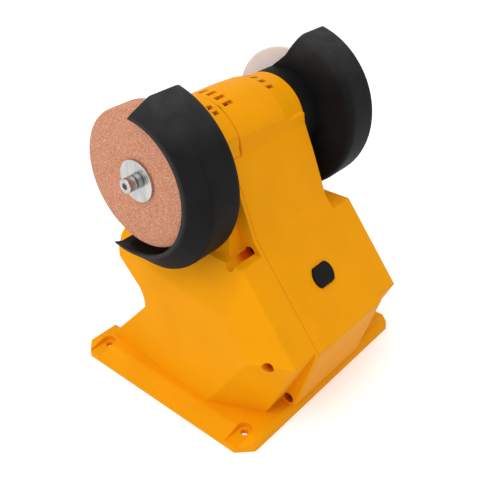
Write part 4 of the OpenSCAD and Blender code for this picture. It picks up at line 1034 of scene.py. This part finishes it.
class GRINDER_OT_studio(bpy.types.Operator):
    """Sets up the floor, the lamps, the white surroundings and the camera"""
    bl_idname = "grinder.studio"
    bl_label = "Studio"

    def execute(self, context):
        _, colours, studio = settings()
        self.floor(colours)
        self.lamp("key_lamp", studio.key, *KEY_LAMP)
        self.lamp("side_lamp", studio.side, *SIDE_LAMP)
        self.surroundings(studio)
        self.camera(studio)
        context.scene.view_settings.view_transform = "Standard"
        return {"FINISHED"}

    def floor(self, colours):
        """A wide plain square under the plate; the camera sees it white where no shadow falls."""
        half, glow, white = 4.0, 0.3, (1.0, 1.0, 1.0, 1.0)
        corners = [(-half, -half, 0), (half, -half, 0), (half, half, 0), (-half, half, 0)]
        mesh = bpy.data.meshes.new("floor")
        mesh.from_pydata(corners, [], [(0, 1, 2, 3)])
        floor = bpy.data.objects.new("floor", mesh)
        bpy.context.scene.collection.objects.link(floor)
        finish = Finish("floor_paper", Specular_IOR_Level=0.0, Roughness=1.0, Emission_Color=white)
        finish.feed("Emission Strength", finish.spread(background_rays(finish.tree), 0.0, glow, 0.0, 1.0))
        finish.feed("Base Color", finish.drift(finish.noise(6.0), colours.floor, 0.99, 1.0))
        mesh.materials.append(finish.material)

    def lamp(self, name, power, size, place):
        """A square lamp that faces the middle of the grinder."""
        data = bpy.data.lights.new(name, "AREA")
        data.shape = "SQUARE"
        data.size = size
        data.energy = power
        lamp = bpy.data.objects.new(name, data)
        bpy.context.scene.collection.objects.link(lamp)
        lamp.location = place
        lamp.rotation_euler = (LAMP_AIM - Vector(place)).to_track_quat("-Z", "Y").to_euler()

    def surroundings(self, studio):
        """Even light all around; the camera and mirror-like surfaces see plain white."""
        world = bpy.data.worlds.new("surroundings")
        bpy.context.scene.world = world
        world.use_nodes = True
        tree = world.node_tree
        strength = tree.nodes.new("ShaderNodeMapRange")
        strength.inputs["To Min"].default_value = studio.ambient
        strength.inputs["To Max"].default_value = 1.0
        tree.links.new(background_rays(tree), strength.inputs["Value"])
        tree.nodes["Background"].inputs["Color"].default_value = (1.0, 1.0, 1.0, 1.0)
        tree.links.new(strength.outputs["Result"], tree.nodes["Background"].inputs["Strength"])

    def camera(self, studio):
        """Columns of the camera's turn: right and up turned by the roll, and back along the line of sight."""
        turn, tilt, roll = studio.camera_turn, studio.camera_tilt, studio.camera_roll
        right = Vector((math.cos(turn), math.sin(turn), 0.0))
        back = Vector((math.sin(turn) * math.cos(tilt), -math.cos(turn) * math.cos(tilt), math.sin(tilt)))
        up = back.cross(right)
        rolled_right = math.cos(roll) * right + math.sin(roll) * up
        rolled_up = -math.sin(roll) * right + math.cos(roll) * up
        data = bpy.data.cameras.new("camera")
        data.lens = studio.camera_lens
        data.sensor_width = SENSOR_WIDTH
        data.clip_start = NEAREST_SEEN
        camera = bpy.data.objects.new("camera", data)
        bpy.context.scene.collection.objects.link(camera)
        turn_matrix = Matrix((rolled_right, rolled_up, back)).transposed().to_4x4()
        camera.matrix_world = Matrix.Translation(studio.camera_place) @ turn_matrix
        bpy.context.scene.camera = camera


OPERATORS = (
    GRINDER_OT_housing, GRINDER_OT_plate, GRINDER_OT_guards, GRINDER_OT_grinding_wheel,
    GRINDER_OT_felt_wheel, GRINDER_OT_wheel_fittings, GRINDER_OT_button, GRINDER_OT_case_parts,
    GRINDER_OT_motor, GRINDER_OT_electrics, GRINDER_OT_studio,
)


class GRINDER_PT_sidebar(bpy.types.Panel):
    """Lists the grinder's pieces, sizes and colours"""
    bl_idname = "GRINDER_PT_sidebar"
    bl_label = "Bench grinder"
    bl_space_type = "VIEW_3D"
    bl_region_type = "UI"
    bl_category = "Grinder"

    def draw(self, context):
        for operator in OPERATORS:
            self.layout.operator(operator.bl_idname)
        for group in settings():
            box = self.layout.box()
            for name in group.__annotations__:
                box.prop(group, name)


GROUPS = {"grinder_sizes": GrinderSizes, "grinder_colours": GrinderColours, "grinder_studio": GrinderStudio}
CLASSES = tuple(GROUPS.values()) + OPERATORS + (GRINDER_PT_sidebar,)


def register():
    """Registers the classes and hangs the property groups on the scene."""
    for cls in CLASSES:
        bpy.utils.register_class(cls)
    for name, group in GROUPS.items():
        setattr(bpy.types.Scene, name, PointerProperty(type=group))


def unregister():
    """Takes the property groups and the classes away again."""
    for name in GROUPS:
        delattr(bpy.types.Scene, name)
    for cls in reversed(CLASSES):
        bpy.utils.unregister_class(cls)


def main():
    """Runs every operator in order."""
    register()
    for operator in OPERATORS:
        group, name = operator.bl_idname.split(".")
        getattr(getattr(bpy.ops, group), name)()


if __name__ == "__main__":
    main()
